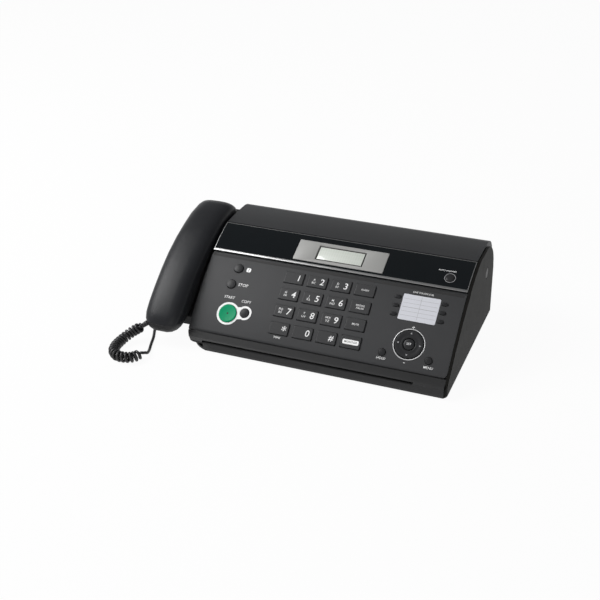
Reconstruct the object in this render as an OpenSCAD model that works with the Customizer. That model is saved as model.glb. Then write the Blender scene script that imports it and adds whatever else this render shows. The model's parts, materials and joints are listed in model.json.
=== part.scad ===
// Desk fax machine with a sloping panel, a roll of thermal paper and a corded handset.
// X runs to the right, Y to the rear and Z up. The desk is at Z = 0.

/* [Cabinet] */
// Width from the left wall's outer face to the right side cover's outer face
cabinet_w = 300; // [292:1:330]
// Depth from the front edge to the rear wall's outer face
cabinet_d = 196; // [194:1:206]
// Thickness of the moulded walls
wall = 2.5; // [2:0.25:3]
// Thickness of the right side cover
side_t = 3; // [3:0.25:4]
// Height of the rubber feet below the cabinet
foot_h = 1.5; // [1:0.25:4]
// Gap between mouldings that move past each other
seam = 0.6; // [0.4:0.1:0.9]
// Height of the ledge at the foot of the panel
ledge_h = 16.5; // [15:0.5:18]
// Depth of that ledge in front of the panel
ledge_d = 12; // [11:0.5:14]
// Height of the paper slot's middle in the front wall
slot_z = 11; // [10.5:0.25:11.5]
// Height of the paper slot
slot_h = 2.4; // [2:0.2:3]
// Length of the paper slot
slot_w = 242; // [220:1:250]
// Plan radius of the front left corner below the slot
corner_low_r = 36; // [20:1:40]
// Plan radius of the front left corner above the slot
corner_high_r = 16; // [10:1:20]

/* [Panel] */
// Slope length of the key panel
panel_len = 94.7; // [92:0.5:98]
// Mean slope of the key panel, in degrees
panel_pitch = 39.9; // [38:0.5:42]
// Height of the panel's bow in the middle
panel_rise = 2.7; // [1:0.1:4]
// Thickness of the panel moulding
panel_t = 2.5; // [2:0.25:3]
// Slope length of the glossy band
band_len = 41.8; // [40:0.5:44]
// Mean slope of the glossy band, in degrees
band_pitch = 23.2; // [21:0.5:26]
// Height of the band's bow in the middle
band_rise = 1.2; // [0.5:0.1:2]
// Thickness of the band
band_t = 3; // [2.5:0.25:3.5]
// Width of the dark groove between panel and band
groove_w = 2.3; // [1.5:0.1:3]
// Step from the panel up to the band
band_step = 3.5; // [2.5:0.1:4]
// Width of the document entrance behind the band
entrance_w = 1.8; // [1.5:0.1:3]
// Radius of the panel's front right corner
panel_corner_r = 7; // [4:0.5:10]

/* [Keys] */
// Width of a dial key
key_w = 22; // [20:0.5:23]
// Slope length of a dial key
key_l = 13.6; // [12:0.2:15]
// Spacing of the key columns
key_pitch_x = 27.5; // [26:0.5:29]
// Spacing of the key rows
key_pitch_s = 20.2; // [19:0.1:21]
// X of the first key column's centre
key_x0 = -45; // [-48:0.5:-42]
// Slope position of the front key row's centre
key_s0 = 19.6; // [19:0.2:21]
// Height of a key top above the panel
key_proud = 1.3; // [0.8:0.1:2]
// Clearance round a button in its hole
button_gap = 0.4; // [0.3:0.05:0.5]
// Width of the flange that keeps a button in
flange_w = 1.2; // [0.8:0.1:1.5]
// Thickness of that flange
flange_t = 1.4; // [1:0.1:1.6]
// Gap between the flange and the panel's underside while the button is up
flange_gap = 0.8; // [0.6:0.1:1]
// Radius of the start button
start_r = 10.3; // [9:0.1:11]
// Radius of the copy button
copy_r = 5.3; // [4:0.1:6]
// Radius of the help and stop buttons
service_r = 5.4; // [4:0.1:6]
// Radius of the menu and broadcast buttons
small_r = 3.9; // [3:0.1:4.5]
// Radius of the one touch buttons' rounded ends
touch_r = 1.9; // [1.6:0.1:2.2]
// Distance between those ends' centres
touch_l = 3; // [2:0.2:3.4]
// Spacing of the one touch buttons
touch_pitch = 10.2; // [9.5:0.1:11]
// Radius of the answer button on the band
answer_r = 5; // [4:0.1:6]
// Outer radius of the navigator ring
nav_r = 15.4; // [14:0.1:16]
// Radius of the set button in the ring
set_r = 6; // [5:0.1:7]

/* [Card and display] */
// Width of the one touch card
card_w = 41; // [38:0.5:44]
// Slope length of the one touch card
card_l = 30; // [27:0.5:31]
// Thickness of the card
card_t = 0.6; // [0.4:0.1:0.8]
// Width of the display frame
lcd_frame_w = 105; // [90:1:115]
// Slope length of the display frame
lcd_frame_l = 28.7; // [26:0.1:31]
// Width of the display glass
lcd_glass_w = 52; // [45:1:60]
// Slope length of the display glass
lcd_glass_l = 17; // [14:0.5:20]

/* [Top cover] */
// Height of the cover's roof above the cabinet's underside
cover_h = 98; // [97:0.5:100]
// Radius of the roll-over at the cover's rear
cover_r = 27.5; // [22:0.5:30]
// Radius of the cover's hinge barrel
barrel_r = 3.5; // [3:0.1:4]
// Radius of the hinge pins
pin_r = 1.5; // [1.2:0.1:1.8]
// Running clearance of pins and shafts, on the radius
running = 0.05; // [0.03:0.01:0.08]
// Width of a hinge knuckle
knuckle_w = 8; // [6:0.5:12]

/* [Cradle and handset] */
// Width of the handset
handset_w = 46; // [42:1:50]
// Gap between the handset and the cabinet's left wall
handset_side_gap = 4; // [3:0.5:8]
// Radius of the bow in the handset's outer face
handset_bow_r = 283; // [275:1:295]
// Thickness of the handset at the ear
ear_t = 36; // [34:0.5:38]
// Thickness of the handset at the grip
grip_t = 24; // [22:0.5:26]
// Roundness of the handset's back, from 2 for an oval to 4 for a box
handset_crown = 2.7; // [2.3:0.1:3.5]
// Wall of the handset's shells
handset_wall = 2; // [1.6:0.1:2.4]
// Height of the cradle's raised front underside
cradle_lift = 14; // [12:0.5:18]

/* [Paper path] */
// Radius of the full paper roll
roll_r = 25; // [22:0.5:26]
// Width of the paper roll
roll_w = 216; // [210:1:218]
// Radius of the hole in the roll's core
core_r = 6.5; // [6:0.5:12.5]
// Radius of the printing platen
platen_r = 9; // [8:0.5:9.5]
// Radius of the feed roller
feed_r = 8; // [7:0.5:8.5]
// Radius of the roller shafts
shaft_r = 3; // [2.5:0.1:3.5]
// Module of the drive gears
gear_module = 1; // [0.9:0.05:1.05]
// Teeth on the motor pinion
pinion_teeth = 14; // [13:1:15]
// Teeth on the platen gear
platen_teeth = 28; // [27:1:29]
// Teeth on the feed gear
feed_teeth = 24; // [23:1:25]
// Width of the gears
gear_w = 6; // [4:0.5:7]

/* [Handset cord] */
// Diameter of the cord itself
cord_d = 3.4; // [3:0.1:4]
// Outer diameter of the cord's curls
curl_d = 12.6; // [12:0.1:13]

/* [Hidden] */
$fn = 48;
eps = 0.01;

// What the outline of the side is made of, as [y, z] points
ledge_top = [ledge_d, ledge_h];
panel_dir = [cos(panel_pitch), sin(panel_pitch)];
panel_top = ledge_top + panel_len * panel_dir;
band_dir = [cos(band_pitch), sin(band_pitch)];
band_low = panel_top + [groove_w, band_step];
band_high = band_low + band_len * band_dir;
cover_front = band_high + [entrance_w, 0.4];
cover_back = cabinet_d + barrel_r;
cover_roll_y = cover_back - cover_r;

left_x = -cabinet_w / 2;
right_x = cabinet_w / 2;
side_x = right_x - side_t;
panel_x1 = side_x - seam;
handset_x1 = left_x - handset_side_gap;
handset_x0 = handset_x1 - handset_w;
handset_x = (handset_x0 + handset_x1) / 2;
cradle_x0 = handset_x0 + 4;

// The handset's bow: its centre, and the points where its face starts and ends
bow_centre = [196.7, -167.9];
function on_bow(angle, depth) =
    bow_centre + (handset_bow_r - depth) * [cos(angle), sin(angle)];

// Where the machine's middle stands over the origin
front_y = -6;
middle_x = (handset_x0 + right_x) / 2;
middle_y = (front_y + cover_back) / 2;

// Hinges
panel_hinge_r = 3.5;
panel_roll_r = panel_hinge_r - 0.1;
ear_r = 2.3;
panel_hinge = ledge_top + panel_hinge_r * [cos(panel_pitch + 6), sin(panel_pitch + 6)]
    + panel_hinge_r * [sin(panel_pitch + 6), -cos(panel_pitch + 6)];
cover_hinge = [cabinet_d, 65.5];
rear_wall_h = cover_hinge[1] - barrel_r - 0.5;
knuckle_x = [left_x + 30, side_x - 30];

// Paper path, a line under the panel
path_pitch = 36.5;
path_y = 84;
path_z = 53;
feed_axis = [path_y, path_z] + (feed_r - 1.5) * [sin(path_pitch), -cos(path_pitch)];
platen_axis = [118.5, 71];
pitch_r = gear_module / 2;
rib_x = roll_w / 2 + 4;
rib_t = 3;
roll_axis = [cabinet_d - wall - roll_r - 5, 44];
pinion_reach_a = pitch_r * (pinion_teeth + platen_teeth);
pinion_reach_b = pitch_r * (pinion_teeth + feed_teeth);
axle_gap = norm(platen_axis - feed_axis);
axle_dir = (platen_axis - feed_axis) / axle_gap;
pinion_along = (pow(pinion_reach_b, 2) - pow(pinion_reach_a, 2) + pow(axle_gap, 2)) / (2 * axle_gap);
pinion_off = sqrt(max(0, pow(pinion_reach_b, 2) - pow(pinion_along, 2)));
pinion_axis = feed_axis + pinion_along * axle_dir + pinion_off * [axle_dir[1], -axle_dir[0]];
motor_r = 17.5;
motor_plate_x = rib_x + rib_t + gear_w + 4;
motor_plate_t = 2;
motor_pillars = [[-4, -19], [19, -8]];
motor_len = panel_x1 - 4 - motor_plate_x - motor_plate_t;

// Boards
post_h = 4;
board_t = 1.6;
board_z = wall + post_h;
key_board_depth = 8;

// Places of the buttons: [x, slope position]
help_at = [-112.6, 80.4];
stop_at = [-115.1, 60.3];
start_at = [-108.7, 25.9];
copy_at = [-89.5, 29.6];
menu_at = [124, 16];
broadcast_at = [73.3, 16];
nav_at = [99.7, 29.4];
card_at = [100.6, 70.2];
answer_at = [123.7, 13.6];
touch_x = [74.6, 126];
lcd_at = [-2.3, 19.2];
press = 1;
release_at = [162, 66];
release_r = 6;
jack_at = [52, 12];

// ---------- helpers ----------

// Moves the machine so that its middle stands over the origin, on its feet
module stand() {
    translate([-middle_x, -middle_y, foot_h]) children();
}

// Extrudes a side outline, drawn as [y, z], from one X to another
module along_x(x0, x1) {
    translate([x0, 0, 0]) rotate([90, 0, 90]) linear_extrude(x1 - x0) children();
}

// A cylinder along X at a [y, z] place
module rod_x(x0, x1, at, r) {
    translate([x0, at[0], at[1]]) rotate([0, 90, 0]) cylinder(h = x1 - x0, r = r);
}

// Points of a shallow bow from p to q, as seen from the left with p in front
function bow(p, q, rise, n) = [for (i = [0:n])
    let (t = i / n, d = q - p)
    p + t * d + 4 * rise * t * (1 - t) * [-d[1], d[0]] / norm(d)];

function arc(centre, r, a0, a1, n) = [for (i = [0:n])
    let (a = a0 + (a1 - a0) * i / n) centre + r * [cos(a), sin(a)]];

function reverse(points) = [for (i = [len(points) - 1:-1:0]) points[i]];

// A point a given depth below a sloping line's chord
function below(p, pitch, depth) = p + depth * [sin(pitch), -cos(pitch)];

// Height and slope of the panel's bow at a slope position
function panel_h(s) = 4 * panel_rise * (s / panel_len) * (1 - s / panel_len);
function panel_tilt(s) = atan(4 * panel_rise / panel_len * (1 - 2 * s / panel_len));
function band_h(s) = 4 * band_rise * (s / band_len) * (1 - s / band_len);
function band_tilt(s) = atan(4 * band_rise / band_len * (1 - 2 * s / band_len));

// Places children on the key panel, with +Z along its outward normal
module on_panel(at) {
    p = ledge_top + at[1] * panel_dir + panel_h(at[1]) * [-panel_dir[1], panel_dir[0]];
    translate([at[0], p[0], p[1]]) rotate([panel_pitch + panel_tilt(at[1]), 0, 0]) children();
}

module on_band(at) {
    p = band_low + at[1] * band_dir + band_h(at[1]) * [-band_dir[1], band_dir[0]];
    translate([at[0], p[0], p[1]]) rotate([band_pitch + band_tilt(at[1]), 0, 0]) children();
}

// Places children in the plane of the panel's chord
module on_chord(at, depth) {
    p = below(ledge_top, panel_pitch, depth) + at[1] * panel_dir;
    translate([at[0], p[0], p[1]]) rotate([panel_pitch, 0, 0]) children();
}

// Places children on the paper path, a distance along it from the feed roller
module on_path(along) {
    translate([0, path_y + along * cos(path_pitch), path_z + along * sin(path_pitch)])
        rotate([path_pitch, 0, 0]) children();
}

module block(x, y, z0, z1) {
    translate([-x / 2, -y / 2, z0]) cube([x, y, z1 - z0]);
}

module disc(r, z0, z1) {
    translate([0, 0, z0]) cylinder(h = z1 - z0, r = r);
}

// A slot-shaped prism: two round ends joined by a block
module pill(r, l, z0, z1) {
    for (side = [-1, 1]) translate([side * l / 2, 0, 0]) disc(r, z0, z1);
    block(l, 2 * r, z0, z1);
}

// ---------- outlines ----------

function front_outline() = [[1.5, 0], [0, 4], [0.6, slot_z], [3.5, slot_z + 2.4], ledge_top];

// Outline of the right side cover
module side_outline() {
    polygon(concat([[1.5, 0], [0, 4], [1.5, 9]],
        [ledge_top + [-2, 2]],
        bow(ledge_top + [1, 4], panel_top, panel_rise, 8),
        bow(band_low, band_high, band_rise, 4),
        [cover_front, [157, cover_front[1]]],
        arc([157, 59.4], cabinet_d - 158, 82, 4, 8),
        [[cabinet_d, 58], [cabinet_d, 0]]));
}

module left_corner_cut(r, z0, z1) {
    translate([left_x - 1, -1, z0]) difference() {
        cube([r + 1, r + 1, z1 - z0]);
        translate([r + 1, r + 1, -1]) cylinder(h = z1 - z0 + 2, r = r, $fn = 64);
    }
}

// ---------- cabinet ----------

module cabinet_left_wall() {
    along_x(left_x, left_x + wall) polygon(concat(
        [[ledge_d - 3, 0], [ledge_d - 3, ledge_h - 2.4], [ledge_d, ledge_h - 1.4]],
        [below(ledge_top, panel_pitch, 10.6) + 2 * panel_dir,
            below(panel_top, panel_pitch, 10.6),
            band_high + [0, -14], [cabinet_d - 12, band_high[1] - 14],
            [cabinet_d - 4.5, 70], [cabinet_d - 4.5, rear_wall_h],
            [cabinet_d, rear_wall_h], [cabinet_d, 0]]));
}

module cabinet_shell() {
    // Floor
    translate([left_x, 3, 0]) cube([side_x - left_x, cabinet_d - 3, wall]);
    // Front wall and ledge
    along_x(left_x, side_x) polygon(concat(front_outline(),
        [ledge_top + [-0.6, -wall], [4.5, slot_z + 0.4], [3.2, slot_z - 1], [2.8, 4], [3.6, 0]]));
    // Rear wall
    translate([left_x, cabinet_d - wall, 0]) cube([side_x - left_x, wall, rear_wall_h]);
    cabinet_left_wall();
    // Knuckles of the top cover's hinge
    for (x = knuckle_x) {
        rod_x(x - knuckle_w / 2, x + knuckle_w / 2, cover_hinge, barrel_r);
        translate([x - knuckle_w / 2, cabinet_d - wall, rear_wall_h - eps])
            cube([knuckle_w, wall, cover_hinge[1] - rear_wall_h + eps]);
    }
    // Ears that hold the panel's hinge pins on the left
    rod_x(left_x, left_x + wall, panel_hinge, ear_r);
    along_x(left_x, left_x + wall) polygon([panel_hinge + [-1.2, 0], panel_hinge + [1.2, 0],
        panel_hinge + [1.6, -5], panel_hinge + [4, -14], panel_hinge + [-4, -14],
        panel_hinge + [-1.6, -5]]);
}

// Ribs that the paper roll lies in
module roll_ribs() {
    for (x = [-0.4, 0, 0.4] * roll_w) difference() {
        translate([x - rib_t / 2, roll_axis[0] - roll_r, wall - eps])
            cube([rib_t, cabinet_d - wall - roll_axis[0] + roll_r + eps, roll_axis[1] - 10 - wall]);
        rod_x(x - rib_t, x + rib_t, roll_axis, roll_r + 0.3);
    }
}

screw_at = [[left_x + 12, 44], [side_x - 14, 44], [left_x + 12, 124], [side_x - 12, 122]];
screw_r = 1.5;

module screw_posts() {
    for (p = screw_at) translate([p[0], p[1], 0]) cylinder(h = 16, r = 4);
}

module screw_holes() {
    for (p = screw_at) translate([p[0], p[1], -1]) {
        cylinder(h = 15, r = screw_r + running);
        cylinder(h = 2.5, r = 3.4);
    }
}

main_posts = [[-130, 64], [-60, 30], [60, 30], [-60, 98], [-123, 150]];
supply_posts = [[121, 135], [141, 135], [121, 182]];
chassis_posts = [[-rib_x + 6, 48], [rib_x - 6, 48], [-rib_x + 6, 128], [rib_x - 6, 128]];

speaker_at = [102, 84];
speaker_r = 22;
line_jacks = [-136, -123];
jack_w = 9.6;
jack_h = 7.2;
inlet_x = 131;
inlet_w = 20;
inlet_h = 11;
inlet_z = 22;

module rear_openings() {
    for (x = line_jacks) translate([x, cabinet_d - wall - 1, board_z + board_t + 6])
        block(jack_w + 0.6, 10, -jack_h / 2 - 0.3, jack_h / 2 + 0.3);
    translate([inlet_x, cabinet_d - wall, inlet_z])
        block(inlet_w + 0.6, 10, -inlet_h / 2 - 0.3, inlet_h / 2 + 0.3);
}

module bottom_cabinet() stand() color("#2b2c2e") difference() {
    union() {
        cabinet_shell();
        roll_ribs();
        screw_posts();
        for (p = concat(main_posts, supply_posts))
            translate([p[0], p[1], wall - eps]) cylinder(h = post_h + eps, r = 3);
        for (p = chassis_posts)
            translate([p[0], p[1], wall - eps]) cylinder(h = chassis_foot_z - wall + eps, r = 3.5);
        // Ring that the speaker sits on
        translate([speaker_at[0], speaker_at[1], wall - eps]) cylinder(h = 1 + eps, r = speaker_r);
    }
    // Paper slot, and the step below it
    translate([-7, 0, slot_z]) block(slot_w, 14, -slot_h / 2, slot_h / 2);
    left_corner_cut(corner_low_r, -1, slot_z - 2);
    left_corner_cut(corner_high_r, slot_z - 2 - eps, ledge_h + 1);
    screw_holes();
    translate([speaker_at[0], speaker_at[1], -1]) cylinder(h = 6, r = 1.6);
    for (i = [0:5]) rotate_about(speaker_at, 60 * i) translate([11, 0, -1]) pill(1.2, 12, 0, 6);
    rear_openings();
    rod_x(left_x - 1, left_x + wall + 1, panel_hinge, pin_r + running);
    for (x = knuckle_x) rod_x(x - knuckle_w, x + knuckle_w, cover_hinge, pin_r + running);
}

module rotate_about(p, a) {
    translate([p[0], p[1], 0]) rotate([0, 0, a]) children();
}

module right_side_cover() stand() color("#4a4a48") difference() {
    along_x(side_x, right_x) side_outline();
    // Rounded front corner
    translate([right_x - 8, -1, -1]) difference() {
        cube([9, 9, 20]);
        translate([0, 9, -1]) cylinder(h = 22, r = 8);
    }
    rod_x(side_x - 1, side_x + 2.2, panel_hinge, pin_r + running);
    rod_x(side_x - 1, right_x + 1, release_at, release_r + button_gap);
}

foot_at = [[left_x + 28, 30], [side_x - 16, 20], [left_x + 20, 178], [side_x - 16, 178]];

module rubber_feet() stand() color("#1b1b1b") for (p = foot_at)
    translate([p[0], p[1], -foot_h]) cylinder(h = foot_h, r = 6.5);

module case_screws() stand() color("silver") for (p = screw_at) translate([p[0], p[1], 0]) {
    difference() {
        cylinder(h = 1.5, r = 2.9);
        translate([-2, -0.35, -1]) cube([4, 0.7, 1.7]);
        translate([-0.35, -2, -1]) cube([0.7, 4, 1.7]);
    }
    cylinder(h = 12, r = screw_r);
}

// ---------- chassis with the paper path ----------

chassis_foot_z = 7;
path_front = [14, 10];
path_bend = [30, 13];

module chassis_side(x0) {
    along_x(x0, x0 + rib_t) polygon([
        [44, chassis_foot_z], [52, chassis_foot_z], [60, 22], [110, 22], [122, chassis_foot_z],
        [134, chassis_foot_z], [134, 66], [128, 84], [112, 80], [path_y - 8, path_z + 2],
        [path_bend[0], path_bend[1] + 1], [path_bend[0], path_bend[1] - 4]]);
}

module chassis_frame() stand() color("#3a3b3d") difference() {
    union() {
        chassis_side(-rib_x - rib_t);
        chassis_side(rib_x);
        // Feet on the cabinet's posts
        for (p = chassis_posts) translate([p[0], p[1], chassis_foot_z])
            block(14, 8, 0, 2);
        // Guide plate under the document
        along_x(-rib_x - 1, rib_x + 1) polygon([path_front, path_bend, [path_y + 14, path_z + 10.36],
            [path_y + 15.2, path_z + 8.7], [path_bend[0] + 0.8, path_bend[1] - 2],
            [path_front[0], path_front[1] - 2]]);
        // Pocket of the image sensor
        on_path(-32) block(2 * rib_x + 2, 19, -15, -1);
        // Ledge of the thermal head, with its wall to the floor
        translate([-rib_x - 1, 106, 52]) cube([2 * rib_x + 2, 27, 2.4]);
        translate([-rib_x - 1, 130, chassis_foot_z]) cube([2 * rib_x + 2, 3, 46]);
        // Motor plate on its pillars
        along_x(motor_plate_x, motor_plate_x + motor_plate_t) polygon([
            pinion_axis + [-12, -22], pinion_axis + [12, -22], pinion_axis + [22, -12],
            pinion_axis + [22, 8], pinion_axis + [12, 14], pinion_axis + [-12, 14],
            pinion_axis + [-19, 4], pinion_axis + [-19, -12]]);
        for (p = motor_pillars)
            rod_x(rib_x + rib_t - eps, motor_plate_x + eps, pinion_axis + p, 2.6);
    }
    on_path(-32) block(2 * rib_x - 1, 15, -13, 4);
    // Window of the feed roller
    on_path(0) block(roll_w + 6, 17, -4, 4);
    for (axis = [platen_axis, feed_axis])
        rod_x(-rib_x - rib_t - 1, rib_x + rib_t + 1, axis, shaft_r + running);
    rod_x(motor_plate_x - 1, motor_plate_x + motor_plate_t + 1, pinion_axis, 6);
}

// A spur gear along X, with its first tooth at a given angle
module gear_x(x0, x1, at, teeth, first) {
    r = pitch_r * teeth;
    step = 360 / teeth;
    tooth = function (a) [for (q = [[-0.29, -1.2], [-0.2, 0], [-0.09, 0.85], [0.09, 0.85],
        [0.2, 0], [0.29, -1.2]]) (r + q[1] * gear_module) * [cos(a + q[0] * step), sin(a + q[0] * step)]];
    translate([0, at[0], at[1]]) along_x(x0, x1)
        polygon([for (i = [0:teeth - 1]) each tooth(first + i * step)]);
}

to_platen = atan2(platen_axis[1] - pinion_axis[1], platen_axis[0] - pinion_axis[0]);
to_feed = atan2(feed_axis[1] - pinion_axis[1], feed_axis[0] - pinion_axis[0]);
pinion_step = 360 / pinion_teeth;
feed_lag = (to_platen - to_feed) - pinion_step * floor((to_platen - to_feed) / pinion_step);
gear_x0 = rib_x + rib_t + 1;
gear_x1 = gear_x0 + gear_w;

module roller(at, r, teeth, first) {
    rod_x(-roll_w / 2 - 2, roll_w / 2 + 2, at, r);
    rod_x(-rib_x - rib_t - 2, gear_x1, at, shaft_r);
    gear_x(gear_x0, gear_x1, at, teeth, first);
}

module platen_roller() stand() color("#202020")
    roller(platen_axis, platen_r, platen_teeth, to_platen + 180 + 180 / platen_teeth);

module feed_roller() stand() color("#242424")
    roller(feed_axis, feed_r, feed_teeth,
        to_feed + 180 + 180 / feed_teeth - feed_lag * pinion_teeth / feed_teeth);

motor_shaft_r = 1.5;

module motor_pinion() stand() color("ivory") {
    gear_x(gear_x0, gear_x1, pinion_axis, pinion_teeth, to_platen);
    rod_x(gear_x1 - eps, motor_plate_x + motor_plate_t + 8, pinion_axis, motor_shaft_r);
}

module drive_motor() stand() color("silver") difference() {
    union() {
        rod_x(motor_plate_x + motor_plate_t, motor_plate_x + motor_plate_t + motor_len,
            pinion_axis, motor_r);
        rod_x(motor_plate_x + 0.2, motor_plate_x + motor_plate_t + eps, pinion_axis, 5.5);
    }
    rod_x(motor_plate_x - 1, motor_plate_x + motor_plate_t + 10, pinion_axis,
        motor_shaft_r + running);
}

module paper_roll() stand() color("white") difference() {
    rod_x(-roll_w / 2, roll_w / 2, roll_axis, roll_r);
    rod_x(-roll_w / 2 - 1, roll_w / 2 + 1, roll_axis, core_r);
}

head_top = platen_axis[1] - platen_r - 0.3;

module thermal_head() stand() color("silver") {
    translate([-roll_w / 2, 108, 54.4]) cube([roll_w, 22, head_top - 54.4 - 1]);
    translate([-roll_w / 2, 112, head_top - 1 - eps]) cube([roll_w, 14, 1 + eps]);
}

module image_sensor() stand() color("#101010")
    on_path(-32) block(roll_w - 4, 14, -13 + 0.3, 0);

// ---------- electronics ----------

module main_board() stand() color("darkgreen") translate([0, 0, board_z]) {
    translate([left_x + 8, 57, 0]) cube([108, 48, board_t]);
    translate([left_x + 60, 24, 0]) cube([176, 34, board_t]);
    translate([left_x + 20, 104.9, 0]) cube([14, 60, board_t]);
    translate([left_x + 8, 160, 0]) cube([26, cabinet_d - wall - 0.4 - 160, board_t]);
    for (p = [[-96, 66, 22], [-60, 62, 16], [-20, 30, 24], [30, 34, 14]])
        translate([p[0], p[1], board_t - eps]) cube([p[2], 14, 2.4]);
    for (i = [0:3]) translate([-90 + 9 * i, 94, board_t - eps]) cylinder(h = 9, r = 3);
    for (x = line_jacks) translate([x, cabinet_d - wall - 8.4, board_t + 6]) difference() {
        block(12, 16, -6 - eps, 6);
        translate([0, 4, 0]) block(jack_w, 14, -jack_h / 2, jack_h / 2);
    }
}

module power_supply() stand() color("tan") {
    translate([117, 130, board_z]) cube([28, cabinet_d - wall - 0.4 - 130, board_t]);
    translate([119, 136, board_z + board_t - eps]) cube([24, 26, 22]);
    for (i = [0, 1]) translate([124 + 14 * i, 171, board_z + board_t - eps])
        cylinder(h = 14, r = 5);
    translate([inlet_x, cabinet_d - wall - 6.4, inlet_z]) difference() {
        block(inlet_w + 4, 12, -inlet_h / 2 - 9, inlet_h / 2 + 2);
        translate([0, 4, 0]) block(inlet_w - 2, 12, -inlet_h / 2 + 1, inlet_h / 2 - 1);
    }
    translate([inlet_x, cabinet_d - wall - 6.4, board_z + board_t - eps])
        block(inlet_w + 4, 12, 0, inlet_z - inlet_h / 2 - 8 - board_z - board_t);
    for (side = [-1, 1]) translate([inlet_x + 4 * side, cabinet_d - wall - 8.4, inlet_z])
        rotate([-90, 0, 0]) cylinder(h = 7, r = 1.2);
}

module speaker() stand() color("#303030") translate([speaker_at[0], speaker_at[1], wall + 1]) {
    difference() {
        cylinder(h = 5, r = speaker_r);
        translate([0, 0, -1]) cylinder(h = 3, r = speaker_r - 3);
    }
    cylinder(h = 12, r = 10);
}

// ---------- hinged panel ----------

function panel_inside(depth) = [
    below(ledge_top, panel_pitch, depth), below(panel_top, panel_pitch, depth)];

module panel_section() {
    seat_low = below(band_low, band_pitch, band_t);
    seat_high = below(band_high, band_pitch, band_t);
    in_low = below(seat_low, band_pitch, panel_t);
    in_high = below(seat_high, band_pitch, panel_t);
    low = panel_inside(panel_t);
    polygon(concat(
        [panel_hinge + panel_roll_r * [-sin(panel_pitch + 6), cos(panel_pitch + 6)]],
        [for (p = bow(ledge_top, panel_top, panel_rise, 10)) if (p[0] > panel_hinge[0]) p],
        [panel_top + [0.4, -2]],
        bow(seat_low, seat_high, band_rise, 5),
        [in_high + [0, -6], in_high + [-wall, -6]],
        reverse(bow(in_low, in_high - [wall, 1], band_rise, 5)),
        reverse([for (p = bow(low[0], low[1], panel_rise, 10)) if (p[0] > panel_hinge[0] + 1) p]),
        [panel_hinge + [0, -2]]));
}

module panel_skirt(x0) {
    along_x(x0, x0 + 2) polygon(concat(
        [below(ledge_top, panel_pitch, 1) + 10 * panel_dir,
            below(panel_top, panel_pitch, 1), below(band_high, band_pitch, band_t + 1),
            below(band_high, band_pitch, 12) - [2, 0], below(panel_top, panel_pitch, 10),
            below(ledge_top, panel_pitch, 10) + 14 * panel_dir]));
}

function key_at(column, row) = [key_x0 + column * key_pitch_x, key_s0 + row * key_pitch_s];
function touch_at(side, row) = [touch_x[side], card_at[1] + (row - 1) * touch_pitch];
boss_at = [[-128, 34], [-62, 70], [60, 70], [136, 50]];

module panel_holes() {
    for (column = [0:3], row = [0:3])
        on_panel(key_at(column, row)) block(key_w + 2 * button_gap, key_l + 2 * button_gap, -6, 4);
    for (side = [0, 1], row = [0:2])
        on_panel(touch_at(side, row)) pill(touch_r + button_gap, touch_l, -6, 4);
    on_panel(help_at) disc(service_r + button_gap, -6, 4);
    on_panel(stop_at) disc(service_r + button_gap, -6, 4);
    on_panel(start_at) disc(start_r + button_gap, -6, 4);
    on_panel(copy_at) disc(copy_r + button_gap, -6, 4);
    on_panel(menu_at) disc(small_r + button_gap, -6, 4);
    on_panel(broadcast_at) disc(small_r + button_gap, -6, 4);
    on_panel(nav_at) disc(nav_r + nav_gap, -6, 4);
    on_panel(card_at) block(card_w + 0.4, card_l + 0.4, -card_t, 4);
    on_band(lcd_at) block(lcd_frame_w + 0.6, lcd_frame_l + 0.6, -12, 4);
    on_band(answer_at) disc(answer_r + button_gap, -12, 4);
}

nav_gap = 0.9;

module operation_panel() stand() color("#303133") {
    panel_moulding();
    panel_pins();
}

module panel_moulding() difference() {
    union() {
        along_x(left_x, panel_x1) panel_section();
        // Rolled front edge round the hinge's axis
        rod_x(left_x, panel_x1, panel_hinge, panel_roll_r);
        panel_skirt(left_x);
        panel_skirt(panel_x1 - 2);
        // Bosses that carry the key board
        for (p = boss_at) on_chord(p, key_board_depth) cylinder(h = key_board_depth + 0.5, r = 2.5);
    }
    panel_holes();
    // Room for the cabinet's ear in the rolled edge's left end, open below for the ear's stem
    along_x(left_x - 1, left_x + wall + seam) translate(panel_hinge) {
        circle(r = ear_r + 0.4);
        polygon([[0, 0], 9 * [cos(200), sin(200)], 9 * [cos(250), sin(250)],
            9 * [cos(305), sin(305)]]);
    }
    // Rounded corner at the right of the ledge
    on_chord([panel_x1 - panel_corner_r, panel_corner_r], 0) difference() {
        translate([0, -panel_corner_r - 6, -3]) cube([panel_corner_r + 6, panel_corner_r + 6, 12]);
        translate([0, 0, -4]) cylinder(h = 14, r = panel_corner_r);
    }
}

module panel_pins() {
    rod_x(left_x + 0.2, left_x + wall + seam + 1, panel_hinge, pin_r);
    rod_x(panel_x1 - 1, side_x + 2, panel_hinge, pin_r);
}

module display_band() stand() color("#14161a") difference() {
    along_x(left_x, panel_x1) polygon(concat(
        bow(band_low, band_high, band_rise, 5),
        reverse(bow(below(band_low, band_pitch, band_t), below(band_high, band_pitch, band_t),
            band_rise, 5))));
    on_band(lcd_at) block(lcd_frame_w + 0.6, lcd_frame_l + 0.6, -12, 4);
    on_band(answer_at) disc(answer_r + button_gap, -12, 4);
}

// Display: a frame with its glass, clipped under the band
module lcd_module() stand() color("#c9ccd0") on_band(lcd_at) {
    difference() {
        block(lcd_frame_w, lcd_frame_l, -7, -0.3);
        block(lcd_glass_w, lcd_glass_l, -2.5, 1);
    }
    block(lcd_frame_w + 6, lcd_frame_l + 2, -8.5, -7 + eps);
    block(lcd_glass_w, lcd_glass_l, -2.6, -1.3);
}

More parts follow.
